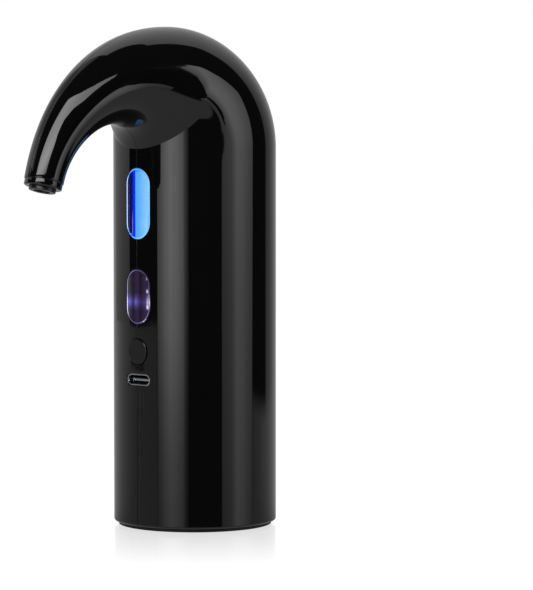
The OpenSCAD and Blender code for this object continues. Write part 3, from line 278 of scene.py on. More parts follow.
def lit(name, base):
    """A lit diode: a pale resin that gives its own colour, clouded in places."""
    cloud_w, darker = 2 * MM, 0.7
    made, tree, here = new_finish(name)
    cloud = put(tree, "ShaderNodeTexNoise", {"Vector": here, "Scale": 1 / cloud_w})
    shade = put(tree, "ShaderNodeValToRGB", {"Fac": cloud}, stops=[
        (0.3, [darker * c for c in base]), (0.7, base),
    ])
    return close(made, put(tree, "ShaderNodeBsdfPrincipled", {
        "Base Color": shade, "Roughness": 0.4,
        "Emission Color": shade, "Emission Strength": 1,
    }))


def clear_window(name, tint):
    """Clear polycarbonate, polished in the tool: a sharp reflection over a view into its depth."""
    flow_w = 5 * MM
    made, tree, here = new_finish(name)
    flow = put(tree, "ShaderNodeTexNoise", {"Vector": here, "Scale": 1 / flow_w})
    gloss = put(tree, "ShaderNodeMapRange", {"Value": flow, "To Min": 0.0, "To Max": 0.03})
    return close(made, put(tree, "ShaderNodeBsdfPrincipled", {
        "Base Color": shown(tint), "Roughness": gloss, "IOR": 1.5, "Transmission Weight": 1,
    }))


def rim_light(name, low, high, left, turn_z, upper):
    """The window's ground edge, with the light inside painted on it as a glow in a broken line.

    It is brightest down its left side, which has only the upper share of that above turn_z."""
    patch_w, left_x, inner_x, blur, dull, bright = 4 * MM, -4.3 * MM, -3.3 * MM, 1 * MM, 0.9, 2.4
    made, tree, here = new_finish(name)
    place = put(tree, "ShaderNodeSeparateXYZ", {"Vector": here})
    patches = put(tree, "ShaderNodeTexNoise", {"Vector": here, "Scale": 1 / patch_w})
    shade = put(tree, "ShaderNodeValToRGB", {"Fac": patches}, stops=[(0.35, low), (0.62, high)])
    leftward = put(tree, "ShaderNodeMapRange", {
        "Value": place.outputs["X"], "From Min": left_x, "From Max": inner_x, "To Min": 1, "To Max": 0,
    })
    downward = put(tree, "ShaderNodeMapRange", {
        "Value": place.outputs["Z"], "From Min": turn_z - blur, "From Max": turn_z + blur,
        "To Min": 1, "To Max": upper,
    })
    # Painted highlight: the glow is strongest down the left side, and weaker above turn_z
    painted_glow_share = put(tree, "ShaderNodeMath", {0: leftward, 1: downward}, operation="MULTIPLY")
    both = put(tree, "ShaderNodeMix", {
        "Factor": painted_glow_share, COLOUR_A: shade, COLOUR_B: shown(left),
    }, data_type="RGBA")
    glow = put(tree, "ShaderNodeMapRange", {"Value": painted_glow_share, "To Min": dull, "To Max": bright})
    # The painted glow is emission in the edge's colours
    return close(made, put(tree, "ShaderNodeBsdfPrincipled", {
        "Base Color": shown(low), "Roughness": 0.2, "Specular IOR Level": 0.1,
        "Emission Color": both.outputs[COLOUR_OUT], "Emission Strength": glow,
    }))


def azure_film(colours, centre_z, top_z):
    """Diffusing film behind the upper window: a dark blue side on the left in painted shade, azure from there
    to the right.
    """
    left_x, right_x, cloud_w, sway = -4.5 * MM, 3.2 * MM, 6 * MM, 0.3
    fold_low, fold_high, fold_share = centre_z - 5 * MM, centre_z - 1.5 * MM, 0.65
    mask_low, mask_high, mask_share = top_z - 1.3 * MM, top_z - 0.3 * MM, 0.8
    made, tree, here = new_finish("lit_diffuser_film_azure")
    place = put(tree, "ShaderNodeSeparateXYZ", {"Vector": here})
    run = put(tree, "ShaderNodeMapRange", {
        "Value": place.outputs["X"], "From Min": left_x, "From Max": right_x,
    })
    cloud = put(tree, "ShaderNodeTexNoise", {"Vector": here, "Scale": 1 / cloud_w})
    drift = put(tree, "ShaderNodeMath", {0: cloud, 1: 0.5}, operation="SUBTRACT")
    swayed = put(tree, "ShaderNodeMath", {0: drift, 1: sway, 2: run}, operation="MULTIPLY_ADD")
    # Painted shade: navy on the left, where the window's unlit side shows
    bands = put(tree, "ShaderNodeValToRGB", {"Fac": run}, stops=[
        (0.0, colours.navy), (0.165, colours.navy), (0.2, colours.deep_blue),
        (0.3, colours.deep_blue), (0.335, colours.azure),
    ])
    # Painted highlight: a thin pale line in the lower half of the film
    fold_highlight = put(tree, "ShaderNodeValToRGB", {"Fac": run}, stops=[(0.15, 0), (0.168, 1), (0.186, 0)])
    below = put(tree, "ShaderNodeMapRange", {
        "Value": place.outputs["Z"], "From Min": fold_low, "From Max": fold_high,
        "To Min": fold_share, "To Max": 0,
    })
    pale = put(tree, "ShaderNodeMapRange", {"Value": swayed, "From Min": 0.45, "From Max": 0.9})
    light = put(tree, "ShaderNodeMix", {
        "Factor": pale, COLOUR_A: bands, COLOUR_B: shown(colours.pale_azure),
    }, data_type="RGBA")
    # The film's upper end, where the light is masked
    topmost = put(tree, "ShaderNodeMapRange", {
        "Value": place.outputs["Z"], "From Min": mask_low, "From Max": mask_high,
        "To Min": 0, "To Max": mask_share,
    })
    deepened = put(tree, "ShaderNodeMix", {
        "Factor": topmost, COLOUR_A: light.outputs[COLOUR_OUT], COLOUR_B: shown(linear("#0a6cff")),
    }, data_type="RGBA")
    # The painted highlight line is mixed over the film's light
    painted_line_share = put(tree, "ShaderNodeMath", {0: fold_highlight, 1: below}, operation="MULTIPLY")
    painted_line_mix = put(tree, "ShaderNodeMix", {
        "Factor": painted_line_share, COLOUR_A: deepened.outputs[COLOUR_OUT], COLOUR_B: shown(linear("#c9c4ff")),
    }, data_type="RGBA")
    return close(made, put(tree, "ShaderNodeBsdfPrincipled", {
        "Base Color": shown(linear("#191927")), "Roughness": 0.5, "Specular IOR Level": 0,
        "Emission Color": painted_line_mix.outputs[COLOUR_OUT], "Emission Strength": 1,
    }))


def violet_film(colours, centre_z):
    """Chamber behind the lower window: dark wine in streaks of painted shade, a low violet glow, and on the
    right bubbles with painted highlights.
    """
    half_w, bubble_w, crowding = 5 * MM, 1.5 * MM, 0.8
    glow_low, glow_high = centre_z - 4 * MM, centre_z + 1 * MM
    made, tree, here = new_finish("lit_wine_film_violet")
    place = put(tree, "ShaderNodeSeparateXYZ", {"Vector": here})
    run = put(tree, "ShaderNodeMapRange", {
        "Value": place.outputs["X"], "From Min": -half_w, "From Max": half_w,
    })
    rise = put(tree, "ShaderNodeMapRange", {
        "Value": place.outputs["Z"], "From Min": glow_low, "From Max": glow_high,
    })
    # Painted shade: the chamber's unlit depth in dark streaks
    streaks = put(tree, "ShaderNodeValToRGB", {"Fac": run}, stops=[
        (0.05, linear("#38373f")), (0.2, linear("#1c1826")), (0.31, colours.dusk), (0.39, colours.dusk),
        (0.47, colours.darkest_shade), (0.63, colours.dusk),
    ])
    # Light from below comes through in two narrow shafts
    shafts = put(tree, "ShaderNodeValToRGB", {"Fac": run}, stops=[
        (0.055, 1), (0.12, 0.5), (0.21, 0.12), (0.3, 0.9),
        (0.4, 0.3), (0.5, 0.12), (0.66, 0.3),
    ])
    height = put(tree, "ShaderNodeValToRGB", {"Fac": rise}, stops=[
        (0.0, 0), (0.2, 0.25), (0.48, 1), (0.75, 0.28), (1.0, 0),
    ])
    glow = put(tree, "ShaderNodeMath", {0: shafts, 1: height}, operation="MULTIPLY")
    depth = put(tree, "ShaderNodeMix", {
        "Factor": glow, COLOUR_A: streaks, COLOUR_B: shown(colours.violet),
    }, data_type="RGBA")
    # Painted highlights: bright glints on bubbles, crowded on the right
    bubbles = put(tree, "ShaderNodeTexVoronoi", {
        "Vector": here, "Scale": 1 / bubble_w, "Randomness": 1,
    })
    patches = put(tree, "ShaderNodeValToRGB", {"Fac": bubbles.outputs["Distance"]}, stops=[
        (0.3, 1), (0.42, 0),
    ])
    crowded = put(tree, "ShaderNodeMath", {0: height, 1: crowding, 2: patches}, operation="MULTIPLY_ADD")
    beside = put(tree, "ShaderNodeValToRGB", {"Fac": run}, stops=[(0.66, 0), (0.74, 1)])
    foam_highlights = put(tree, "ShaderNodeMath", {0: crowded, 1: beside}, operation="MULTIPLY", use_clamp=True)
    # The painted highlights are mixed over the chamber
    light = put(tree, "ShaderNodeMix", {
        "Factor": foam_highlights, COLOUR_A: depth.outputs[COLOUR_OUT], COLOUR_B: shown(colours.foam_highlights),
    }, data_type="RGBA")
    return close(made, put(tree, "ShaderNodeBsdfPrincipled", {
        "Base Color": shown(linear("#1d161f")), "Roughness": 0.35, "Specular IOR Level": 0,
        "Emission Color": light.outputs[COLOUR_OUT], "Emission Strength": 1,
    }))


def finishes():
    """Every finish by its slot: colour, roughness, then the grain's width and depth, or the line's width."""
    colours = bpy.context.scene.aerator_colours
    return {
        # ABS from a polished tool: a deep black with a mirror gloss and the faintest orange peel
        "gloss_black": moulded("gloss_black_abs", colours.gloss_black, 0.035, 2.2, 0.002),
        # ABS from a spark-eroded tool: an even grain that scatters light
        "matte_black": moulded("matte_black_abs", colours.matte_black, 0.3, 0.35, 0.01),
        # Silicone rubber: dull, with a dusty grain
        "rubber_black": moulded("black_silicone_rubber", colours.rubber_black, 0.62, 0.5, 0.02, ior=1.42),
        # Valve rubber, brick red and dull
        "rubber_red": moulded("red_valve_rubber", linear("#8e2a22"), 0.55, 0.4, 0.01, ior=1.45),
        # Extruded clear acrylic with faint flow lines
        "clear_tube": moulded("clear_acrylic_tube", linear("#eef4f8"), 0.05, 1.5, 0.002, ior=1.49, clear=1),
        # Opal acrylic: soft white, light spreads in it
        "diffuser_white": moulded("opal_acrylic", linear("#eef0f2"), 0.4, 0.6, 0.004, ior=1.49, soft=0.4),
        # Zinc-plated and stamped steel with rolling lines
        "steel": metal("plated_steel", linear("#dfe2e5"), 0.22, 0.12),
        # Nickel strip: a warm grey with fine rolling lines
        "nickel": metal("nickel_strip", linear("#cfc9bd"), 0.28, 0.1),
        # Turned brass: yellow, with the finest tool lines
        "brass": metal("turned_brass", linear("#c9a25a"), 0.2, 0.08),
        # Enamelled copper wire, drawn coarse enough to show its turns
        "copper_winding": metal("enamelled_copper", linear("#b0663a"), 0.3, 0.3),
        # Sintered ferrite: dark grey, gritty
        "magnet_grey": moulded("sintered_ferrite", linear("#3a3b3d"), 0.6, 0.3, 0.02, ior=2.0),
        # Solder mask over glass fibre: an even, half-glossy coat
        "board_green": moulded("green_solder_mask", linear("#1b5a33"), 0.3, 0.5, 0.006, ior=1.55),
        "board_white": moulded("white_solder_mask", linear("#dfe3e2"), 0.35, 0.5, 0.006, ior=1.55),
        # Diode resin: glows in its own colour
        "led_blue": lit("blue_diode_resin", linear("#4a90ff")),
        "led_violet": lit("violet_diode_resin", linear("#7a6cff")),
        # Acetal: waxy white, a little translucent
        "white_plastic": moulded("white_acetal", linear("#dcdcd6"), 0.34, 0.8, 0.006, ior=1.48, soft=0.15),
        # Glass-filled nylon: grey with a mottled grain
        "grey_plastic": moulded("grey_nylon", linear("#77797c"), 0.48, 0.4, 0.015),
        # Extruded silicone hose: milky and half clear
        "silicone_hose": moulded("milky_silicone", linear("#e6e9ea"), 0.28, 1.2, 0.006, ior=1.41, clear=0.5),
        # Shrink sleeve on the cell: glossy and slightly puckered
        "cell_blue": moulded("blue_shrink_sleeve", linear("#2258a8"), 0.25, 1.5, 0.02),
        # Extruded PVC: a smooth, half-glossy skin
        "lead_red": moulded("red_pvc_insulation", linear("#a81f1c"), 0.4, 0.5, 0.006),
        "lead_yellow": moulded("yellow_pvc_insulation", linear("#c79a1c"), 0.4, 0.5, 0.006),
    }


FINISHES = {}


def finish(slot):
    """The finish of a slot."""
    if not FINISHES:
        FINISHES.update(finishes())
    return FINISHES[slot]


def make_piece(name, bm, body, materials, nodes):
    """Turns a bmesh into a piece that rides on a body and stands for its nodes."""
    bmesh.ops.recalc_face_normals(bm, faces=bm.faces)
    mesh = bpy.data.meshes.new(name)
    bm.to_mesh(mesh)
    bm.free()
    for material in materials:
        mesh.materials.append(material)
    mesh.shade_smooth()
    mesh.set_sharp_from_angle(angle=SHARP)
    piece = bpy.data.objects.new(name, mesh)
    bpy.context.scene.collection.objects.link(piece)
    even = piece.modifiers.new("even_shading", "WEIGHTED_NORMAL")
    even.keep_sharp = True
    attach(piece, body)
    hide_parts(*nodes)
    return piece


def lathe(profile, steps, closed):
    """Spins a profile of radius and height about Z."""
    bm = bmesh.new()
    verts = [bm.verts.new((r, 0, z)) for r, z in profile]
    pairs = list(zip(verts, verts[1:]))
    if closed:
        pairs.append((verts[-1], verts[0]))
    edges = [bm.edges.new(pair) for pair in pairs]
    bmesh.ops.spin(
        bm, geom=verts + edges, cent=(0, 0, 0), axis=(0, 0, 1), angle=2 * math.pi, steps=steps, use_merge=True
    )
    bmesh.ops.remove_doubles(bm, verts=bm.verts, dist=NEAR)
    bmesh.ops.recalc_face_normals(bm, faces=bm.faces)
    return bm


def round_edges(bm, edges, radius, segments):
    """Rounds edges by a radius."""
    bmesh.ops.bevel(
        bm, geom=edges, offset=radius, segments=segments, profile=0.5, affect="EDGES",
        clamp_overlap=True, material=-1,
    )


def round_rings(bm, rings, radius, segments=3):
    """Rounds the lathe's ring edges at each (radius, height) of rings."""
    def on_ring(vert, r, z):
        return abs(vert.co.xy.length - r) < CLOSE and abs(vert.co.z - z) < CLOSE

    edges = [e for e in bm.edges for r, z in rings if all(on_ring(v, r, z) for v in e.verts)]
    round_edges(bm, edges, radius, segments)


def pill(bm, width, height, place):
    """A flat pill that faces -Y: a circle with its halves moved apart."""
    radius = min(width, height) / 2
    steps = 96
    upright = Matrix.Rotation(math.radians(90), 4, "X") @ Matrix.Rotation(math.pi / steps, 4, "Z")
    made = bmesh.ops.create_circle(bm, cap_ends=True, segments=steps, radius=radius, matrix=upright)["verts"]
    for v in made:
        v.co.x += math.copysign(width / 2 - radius, v.co.x)
        v.co.z += math.copysign(height / 2 - radius, v.co.z)
    bmesh.ops.translate(bm, verts=made, vec=place)
    return made[0].link_faces[0]


def pull(bm, face, move):
    """Extrudes a face by a move and returns the moved face."""
    made = bmesh.ops.extrude_face_region(bm, geom=[face, *face.edges, *face.verts])["geom"]
    bmesh.ops.translate(bm, verts=[g for g in made if isinstance(g, bmesh.types.BMVert)], vec=move)
    return next(g for g in made if isinstance(g, bmesh.types.BMFace))


def slice_columns(bm, half_width, count):
    """Cuts a flat plate into upright columns, so that it can bend round the body."""
    for i in range(1, count):
        bmesh.ops.bisect_plane(
            bm, geom=bm.verts[:] + bm.edges[:] + bm.faces[:], dist=NEAR,
            plane_co=(half_width * (2 * i / count - 1), 0, 0), plane_no=(1, 0, 0),
        )


def bend(verts):
    """Bends flat plates round the body's axis: each lies at the radius of its -Y."""
    for v in verts:
        v.co.y = -math.sqrt(v.co.y ** 2 - v.co.x ** 2)


def hood_curves(s):
    """The hood's back and front lines in the middle plane, as functions of t.

    t is 0 at the crease and 1 at the spout's end. The back line is the shoulder's quarter circle and then
    one arc to the spout. The front line stays at the crease for the fan's share, and then follows the
    arch."""
    top = Vector((s.body_radius - s.shoulder_radius, s.crease_height + s.shoulder_radius))
    crease = Vector((-s.body_radius, s.crease_height))
    end = Vector((-s.spout_reach, s.spout_height))
    half_end = Vector((-math.cos(s.spout_lean), math.sin(s.spout_lean))) * s.spout_radius
    drop = top - (end + half_end)
    back_r = drop.length_squared / (2 * drop.y)
    back_centre = top - Vector((0, back_r))
    back_bend = math.atan2(drop.x, back_r - drop.y)
    shoulder_l = s.shoulder_radius * math.pi / 2
    back_l = shoulder_l + back_r * back_bend
    front_end = end - half_end
    leave = crease + Vector((-math.sin(s.arch_turn), math.cos(s.arch_turn))) * s.arch_lift
    arrive = front_end + Vector((math.sin(s.spout_lean), math.cos(s.spout_lean))) * s.arch_pull

    def back(t):
        along = t * back_l
        if along <= shoulder_l:
            a = along / s.shoulder_radius
            return top + Vector((math.cos(a), math.sin(a) - 1)) * s.shoulder_radius
        a = (along - shoulder_l) / back_r
        return back_centre + Vector((-math.sin(a), math.cos(a))) * back_r

    def front(t):
        f = max(0, (t - s.fan_share) / (1 - s.fan_share)) ** s.arch_ease
        g = 1 - f
        return crease * g ** 3 + leave * (3 * f * g ** 2) + arrive * (3 * f ** 2 * g) + front_end * f ** 3

    return back, front


def half_opening(width, height, middle, seam):
    """Right half of a pill's outline, from its lowest to its highest point on the seam."""
    radius = min(width, height) / 2
    steps = 14
    points = [(seam, middle - height / 2)]
    for start, centre_z in ((-math.pi / 2, middle - height / 2 + radius), (0, middle + height / 2 - radius)):
        for i in range(steps + 1):
            a = start + math.pi / 2 * i / steps
            point = (width / 2 - radius + radius * math.cos(a), centre_z + radius * math.sin(a))
            if point[0] > seam and math.dist(point, points[-1]) > CLOSE:
                points.append(point)
    return points + [(seam, middle + height / 2)]


def lay_on_ring(verts, around, seam, centre, across, radius):
    """Lays a chain on half of a circle that the middle plane cuts, clear of the seam at both ends."""
    first = math.asin(seam / radius)
    for v in verts:
        a = first + v[around] * (math.pi - 2 * first)
        v.co = centre - across * (radius * math.cos(a)) + ACROSS * (radius * math.sin(a))


def next_ring(bm, chain):
    """Extrudes a chain of edges in place and returns the new edges and vertices."""
    made = bmesh.ops.extrude_edge_only(bm, edges=chain)["geom"]
    verts = [g for g in made if isinstance(g, bmesh.types.BMVert)]
    fresh = set(verts)
    return [g for g in made if isinstance(g, bmesh.types.BMEdge) and fresh.issuperset(g.verts)], verts


def chain_at(bm, height):
    """The edges that lie at a height."""
    return [e for e in bm.edges if all(abs(v.co.z - height) < NEAR for v in e.verts)]


def front_share(around):
    """How much of the crease shows at a place round the hood: all at the front, nothing at the sides."""
    # Degrees from the front
    full, gone = 58, 84
    w = max(0, min(1, (gone - 180 * around) / (gone - full)))
    return w * w * (3 - 2 * w)


def shell_skin(bm, s, openings):
    """Outer skin of the right shell: front panel with half openings, body, lower edge and hood."""
    around = bm.verts.layers.float["around"]
    press = bm.verts.layers.float["press"]
    inward = bm.verts.layers.float_vector["inward"]
    panel_w = 9 * MM
    columns, back_columns, stations, round_steps = 30, 72, 144, 5
    inner = s.body_radius - s.wall
    low = s.floor_gap + s.lower_round
    outline = [(s.seam, low)]
    for width, height, middle in openings:
        outline += half_opening(width + 2 * s.edge_round, height + 2 * s.edge_round, middle, s.seam)
    outline += [(s.seam, s.crease_height), (panel_w, s.crease_height), (panel_w, low)]
    bm.faces.new([bm.verts.new((x, -s.body_radius, z)) for x, z in outline])
    slice_columns(bm, panel_w, 2 * columns)
    bend(bm.verts)
    for v in bm.verts:
        v[inward] = (0, -math.sqrt(inner ** 2 - v.co.x ** 2) - v.co.y, 0)

    panel_turn, seam_turn = math.asin(panel_w / s.body_radius), math.asin(s.seam / s.body_radius)
    far = [e for e in bm.edges if all(abs(v.co.x - panel_w) < NEAR for v in e.verts)]
    bmesh.ops.spin(
        bm, geom=far + [v for e in far for v in e.verts], cent=(0, 0, 0), axis=(0, 0, 1),
        angle=math.pi - panel_turn - seam_turn, steps=back_columns,
    )
    for v in bm.verts:
        a = math.atan2(v.co.x, -v.co.y)
        v[around] = (a - seam_turn) / (math.pi - 2 * seam_turn)
        if a > panel_turn + NEAR:
            v[inward] = Vector((v.co.x, v.co.y, 0)) * (-s.wall / s.body_radius)

    chain, bottom = chain_at(bm, s.crease_height), chain_at(bm, low)
    back, front = hood_curves(s)
    for i in range(1, stations + 1):
        t = i / stations
        centre, half = (back(t) + front(t)) / 2, (back(t) - front(t)) / 2
        middle, across = Vector((0, *centre)), Vector((0, *half.normalized()))
        chain, verts = next_ring(bm, chain)
        lay_on_ring(verts, around, s.seam, middle, across, half.length)
        for v in verts:
            v[inward] = (middle - v.co).normalized() * (s.wall + (s.spout_wall - s.wall) * t)
            if t < s.crease_share + NEAR:
                body_y = -math.sqrt(s.body_radius ** 2 - v.co.x ** 2)
                v[press] = front_share(v[around]) * max(0, body_y - v.co.y)
            v.co.y += v[press] * max(0, 1 - max(0, t - s.crease_share) / s.crease_fade) ** 2
    for i in range(1, round_steps + 1):
        a = math.pi / 2 * i / round_steps
        radius = s.body_radius - s.lower_round * (1 - math.cos(a))
        middle = Vector((0, 0, low - s.lower_round * math.sin(a)))
        bottom, verts = next_ring(bm, bottom)
        lay_on_ring(verts, around, s.seam, middle, Vector((0, 1, 0)), radius)
        for v in verts:
            v[inward] = (middle - v.co).normalized() * (radius - inner)
    bmesh.ops.remove_doubles(bm, verts=bm.verts, dist=MERGE)


def thicken(bm, edge_round):
    """Gives the skin its wall, with rounded edges at the seam and the openings."""
    home = bm.verts.layers.float_vector["home"]
    side = bm.verts.layers.float_vector["side"]
    inward = bm.verts.layers.float_vector["inward"]
    depth = bm.verts.layers.float["depth"]
    rings = 3
    bm.normal_update()
    for v in bm.verts:
        v[home] = v.co
    for e in bm.edges:
        if e.is_boundary:
            face, start = e.link_faces[0], e.verts[0].co
            out = (e.verts[1].co - start).cross(face.normal).normalized()
            if out.dot(face.calc_center_median() - start) > 0:
                out.negate()
            for v in e.verts:
                v[side] = v[side] + out
    skin = bm.faces[:] + bm.edges[:] + bm.verts[:]
    made = bmesh.ops.extrude_face_region(bm, geom=skin, use_keep_orig=True)["geom"]
    for v in made:
        if isinstance(v, bmesh.types.BMVert):
            v[depth] = 1
    links = [e for e in bm.edges if e.verts[0][depth] != e.verts[1][depth]]
    bmesh.ops.subdivide_edges(bm, edges=links, cuts=rings, use_grid_fill=True)
    for v in bm.verts:
        out = v[side].normalized() * edge_round
        if v[depth] > 1 - NEAR:
            v.co = v[home] + v[inward] + out
        elif v[depth] > NEAR:
            a = math.pi / 2 * v[depth] * (rings + 1) / rings
            v.co = v[home] + out * math.sin(a) + v[inward].normalized() * (edge_round * (1 - math.cos(a)))


class AERATOR_OT_shells(bpy.types.Operator):
    """Builds the two glossy housing shells, with the seam between them and the openings in their front"""

    bl_idname = "aerator.shells"
    bl_label = "Housing shells"

    def execute(self, context):
        s, f = context.scene.aerator_housing, context.scene.aerator_front
        port_size, button_middle = PORT_HIGH - PORT_LOW, (BUTTON_LOW.z + BUTTON_HIGH.z) / 2
        hole = 2 * (f.button_radius + f.button_gap)
        openings = [
            (port_size.x + 2 * f.port_gap, port_size.z + 2 * f.port_gap, (PORT_LOW.z + PORT_HIGH.z) / 2),
            (hole, hole, button_middle),
        ]
        for low, high in ((LOWER_LOW, LOWER_HIGH), (UPPER_LOW, UPPER_HIGH)):
            openings.append((f.window_width, high.z - low.z - 2 * f.window_rim, (low.z + high.z) / 2))
        for name, node, mirrored in (
            ("housing_right", "right_shell", False), ("housing_left", "left_shell", True),
        ):
            bm = bmesh.new()
            for layer in ("around", "press", "depth"):
                bm.verts.layers.float.new(layer)
            for layer in ("home", "side", "inward"):
                bm.verts.layers.float_vector.new(layer)
            shell_skin(bm, s, openings)
            thicken(bm, s.edge_round)
            if mirrored:
                bmesh.ops.scale(bm, verts=bm.verts, vec=(-1, 1, 1))
            make_piece(name, bm, "housing", [finish("gloss_black")], [node])
        return {"FINISHED"}


class AERATOR_OT_windows(bpy.types.Operator):
    """Builds the two clear windows with the light that shows in their depth"""

    bl_idname = "aerator.windows"
    bl_label = "Windows"

    def execute(self, context):
        f, colours = context.scene.aerator_front, context.scene.aerator_colours
        upper_middle = (UPPER_LOW.z + UPPER_HIGH.z) / 2
        lower_middle = (LOWER_LOW.z + LOWER_HIGH.z) / 2
        upper_top = UPPER_HIGH.z - f.window_rim
        # The third finish of each window is the painted glow of its ground edge
        looks = {
            "upper_window": [
                clear_window("clear_polycarbonate_azure", linear("#eaf5ff")),
                azure_film(colours, upper_middle, upper_top),
                rim_light(
                    "ground_edge_painted_glow_azure", linear("#3f86e8"), linear("#8cc4ff"), linear("#c4e0ff"),
                    turn_z=upper_top, upper=1,
                ),
            ],
            "lower_window": [
                clear_window("clear_polycarbonate_violet", linear("#f2eefa")),
                violet_film(colours, lower_middle),
                rim_light(
                    "ground_edge_painted_glow_lavender", linear("#2e2946"), linear("#8d84c0"), linear("#d6d4f4"),
                    turn_z=lower_middle, upper=0.35,
                ),
            ],
        }
        for node, materials in looks.items():
            low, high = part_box(node)
            self.build(f, node, low, high, materials)
        return {"FINISHED"}

    def build(self, f, node, low, high, materials):
        """One window: a hidden rim behind the wall, a block through it, and a ground edge round its face."""
        clear, film, edge = range(3)
        corner, rim_line, columns = 0.12 * MM, 0.2 * MM, 36
        bm = bmesh.new()
        back = pill(bm, high.x - low.x, high.z - low.z, (0, -f.window_back, (low.z + high.z) / 2))
        seat = pull(bm, back, (0, f.window_back - f.window_seat, 0))
        inset = f.window_rim + f.window_gap
        bmesh.ops.inset_region(bm, faces=[seat], thickness=inset, use_even_offset=True)
        front = pull(bm, seat, (0, f.window_seat - f.window_front + corner, 0))
        front = pull(bm, front, (0, -corner, 0))
        bmesh.ops.inset_region(bm, faces=[front], thickness=corner, use_even_offset=True)
        for face in bm.faces:
            face.material_index = film
        # The ring round the face takes the ground edge's painted glow
        ring = bmesh.ops.inset_region(bm, faces=[front], thickness=rim_line, use_even_offset=True)["faces"]
        for face in ring:
            face.material_index = edge
        front.material_index = clear
        slice_columns(bm, high.x, columns)
        bend(bm.verts)
        make_piece(node + "_lens", bm, "housing", materials, [node])


class AERATOR_OT_button(bpy.types.Operator):
    """Builds the round push button"""

    bl_idname = "aerator.button"
    bl_label = "Button"

    def execute(self, context):
        f = context.scene.aerator_front
        lip_l, stem_l, corner, steps = 0.8 * MM, 1 * MM, 0.12 * MM, 96
        middle = Vector((0, BUTTON_HIGH.y, (BUTTON_LOW.z + BUTTON_HIGH.z) / 2))
        front, lip_r, lip_top = BUTTON_HIGH.y - BUTTON_LOW.y, BUTTON_HIGH.x, stem_l + lip_l
        # The flat of the face ends a little inside its rounding
        face_r, stem_r, flat_r = f.button_radius, f.button_stem, f.button_radius - 1.4 * f.button_round
        bm = lathe([
            (0, front), (flat_r, front), (face_r, front), (face_r, lip_top), (lip_r, lip_top),
            (lip_r, stem_l), (stem_r, stem_l), (stem_r, 0), (0, 0),
        ], steps, closed=False)
        round_rings(bm, [(face_r, front)], f.button_round, segments=5)
        round_rings(bm, [(lip_r, lip_top), (lip_r, stem_l), (stem_r, 0)], corner)
        bmesh.ops.transform(
            bm, verts=bm.verts, matrix=Matrix.Translation(middle) @ Matrix.Rotation(math.radians(90), 4, "X")
        )
        make_piece("button_cap", bm, "button", [finish("gloss_black")], ["power_button"])
        return {"FINISHED"}


class AERATOR_OT_spout_end(bpy.types.Operator):
    """Builds the collar and the nozzle that close the spout"""

    bl_idname = "aerator.spout_end"
    bl_label = "Spout end"

    def execute(self, context):
        s = context.scene.aerator_housing
        place = Matrix.Translation((0, -s.spout_reach, s.spout_height)) @ Matrix.Rotation(
            math.pi - s.spout_lean, 4, "X"
        )
        fit, corner, end_round, steps = 0.05 * MM, 0.12 * MM, 0.45 * MM, 96
        bore, radius, height = s.nozzle_radius + fit, s.collar_radius, s.collar_height
        collar = lathe([(bore, 0), (radius, 0), (radius, height), (bore, height)], steps, closed=True)
        round_rings(collar, [(radius, height)], end_round, segments=5)
        round_rings(collar, [(radius, 0), (bore, height)], corner)

        reach, root, throat = s.collar_height + s.nozzle_show, 1 * MM, 0.2 * MM
        barb_l, barb_r, barb_bore = 5 * MM, 1.66 * MM, 1.11 * MM
        barb_end = -root - barb_l
        nozzle = lathe([
            (s.nozzle_bore, reach), (s.nozzle_radius, reach), (s.nozzle_radius, -root), (barb_r, -root),
            (barb_r, barb_end), (barb_bore, barb_end), (barb_bore, -throat), (s.nozzle_bore, -throat),
        ], steps, closed=True)
        round_rings(nozzle, [(s.nozzle_radius, reach), (s.nozzle_bore, reach)], 2 * corner, segments=4)
        for name, bm, slot, node in (
            ("spout_collar", collar, "gloss_black", "nozzle_collar"),
            ("spout_nozzle", nozzle, "matte_black", "nozzle"),
        ):
            bmesh.ops.transform(bm, verts=bm.verts, matrix=place)
            make_piece(name, bm, "housing", [finish(slot)], [node])
        return {"FINISHED"}


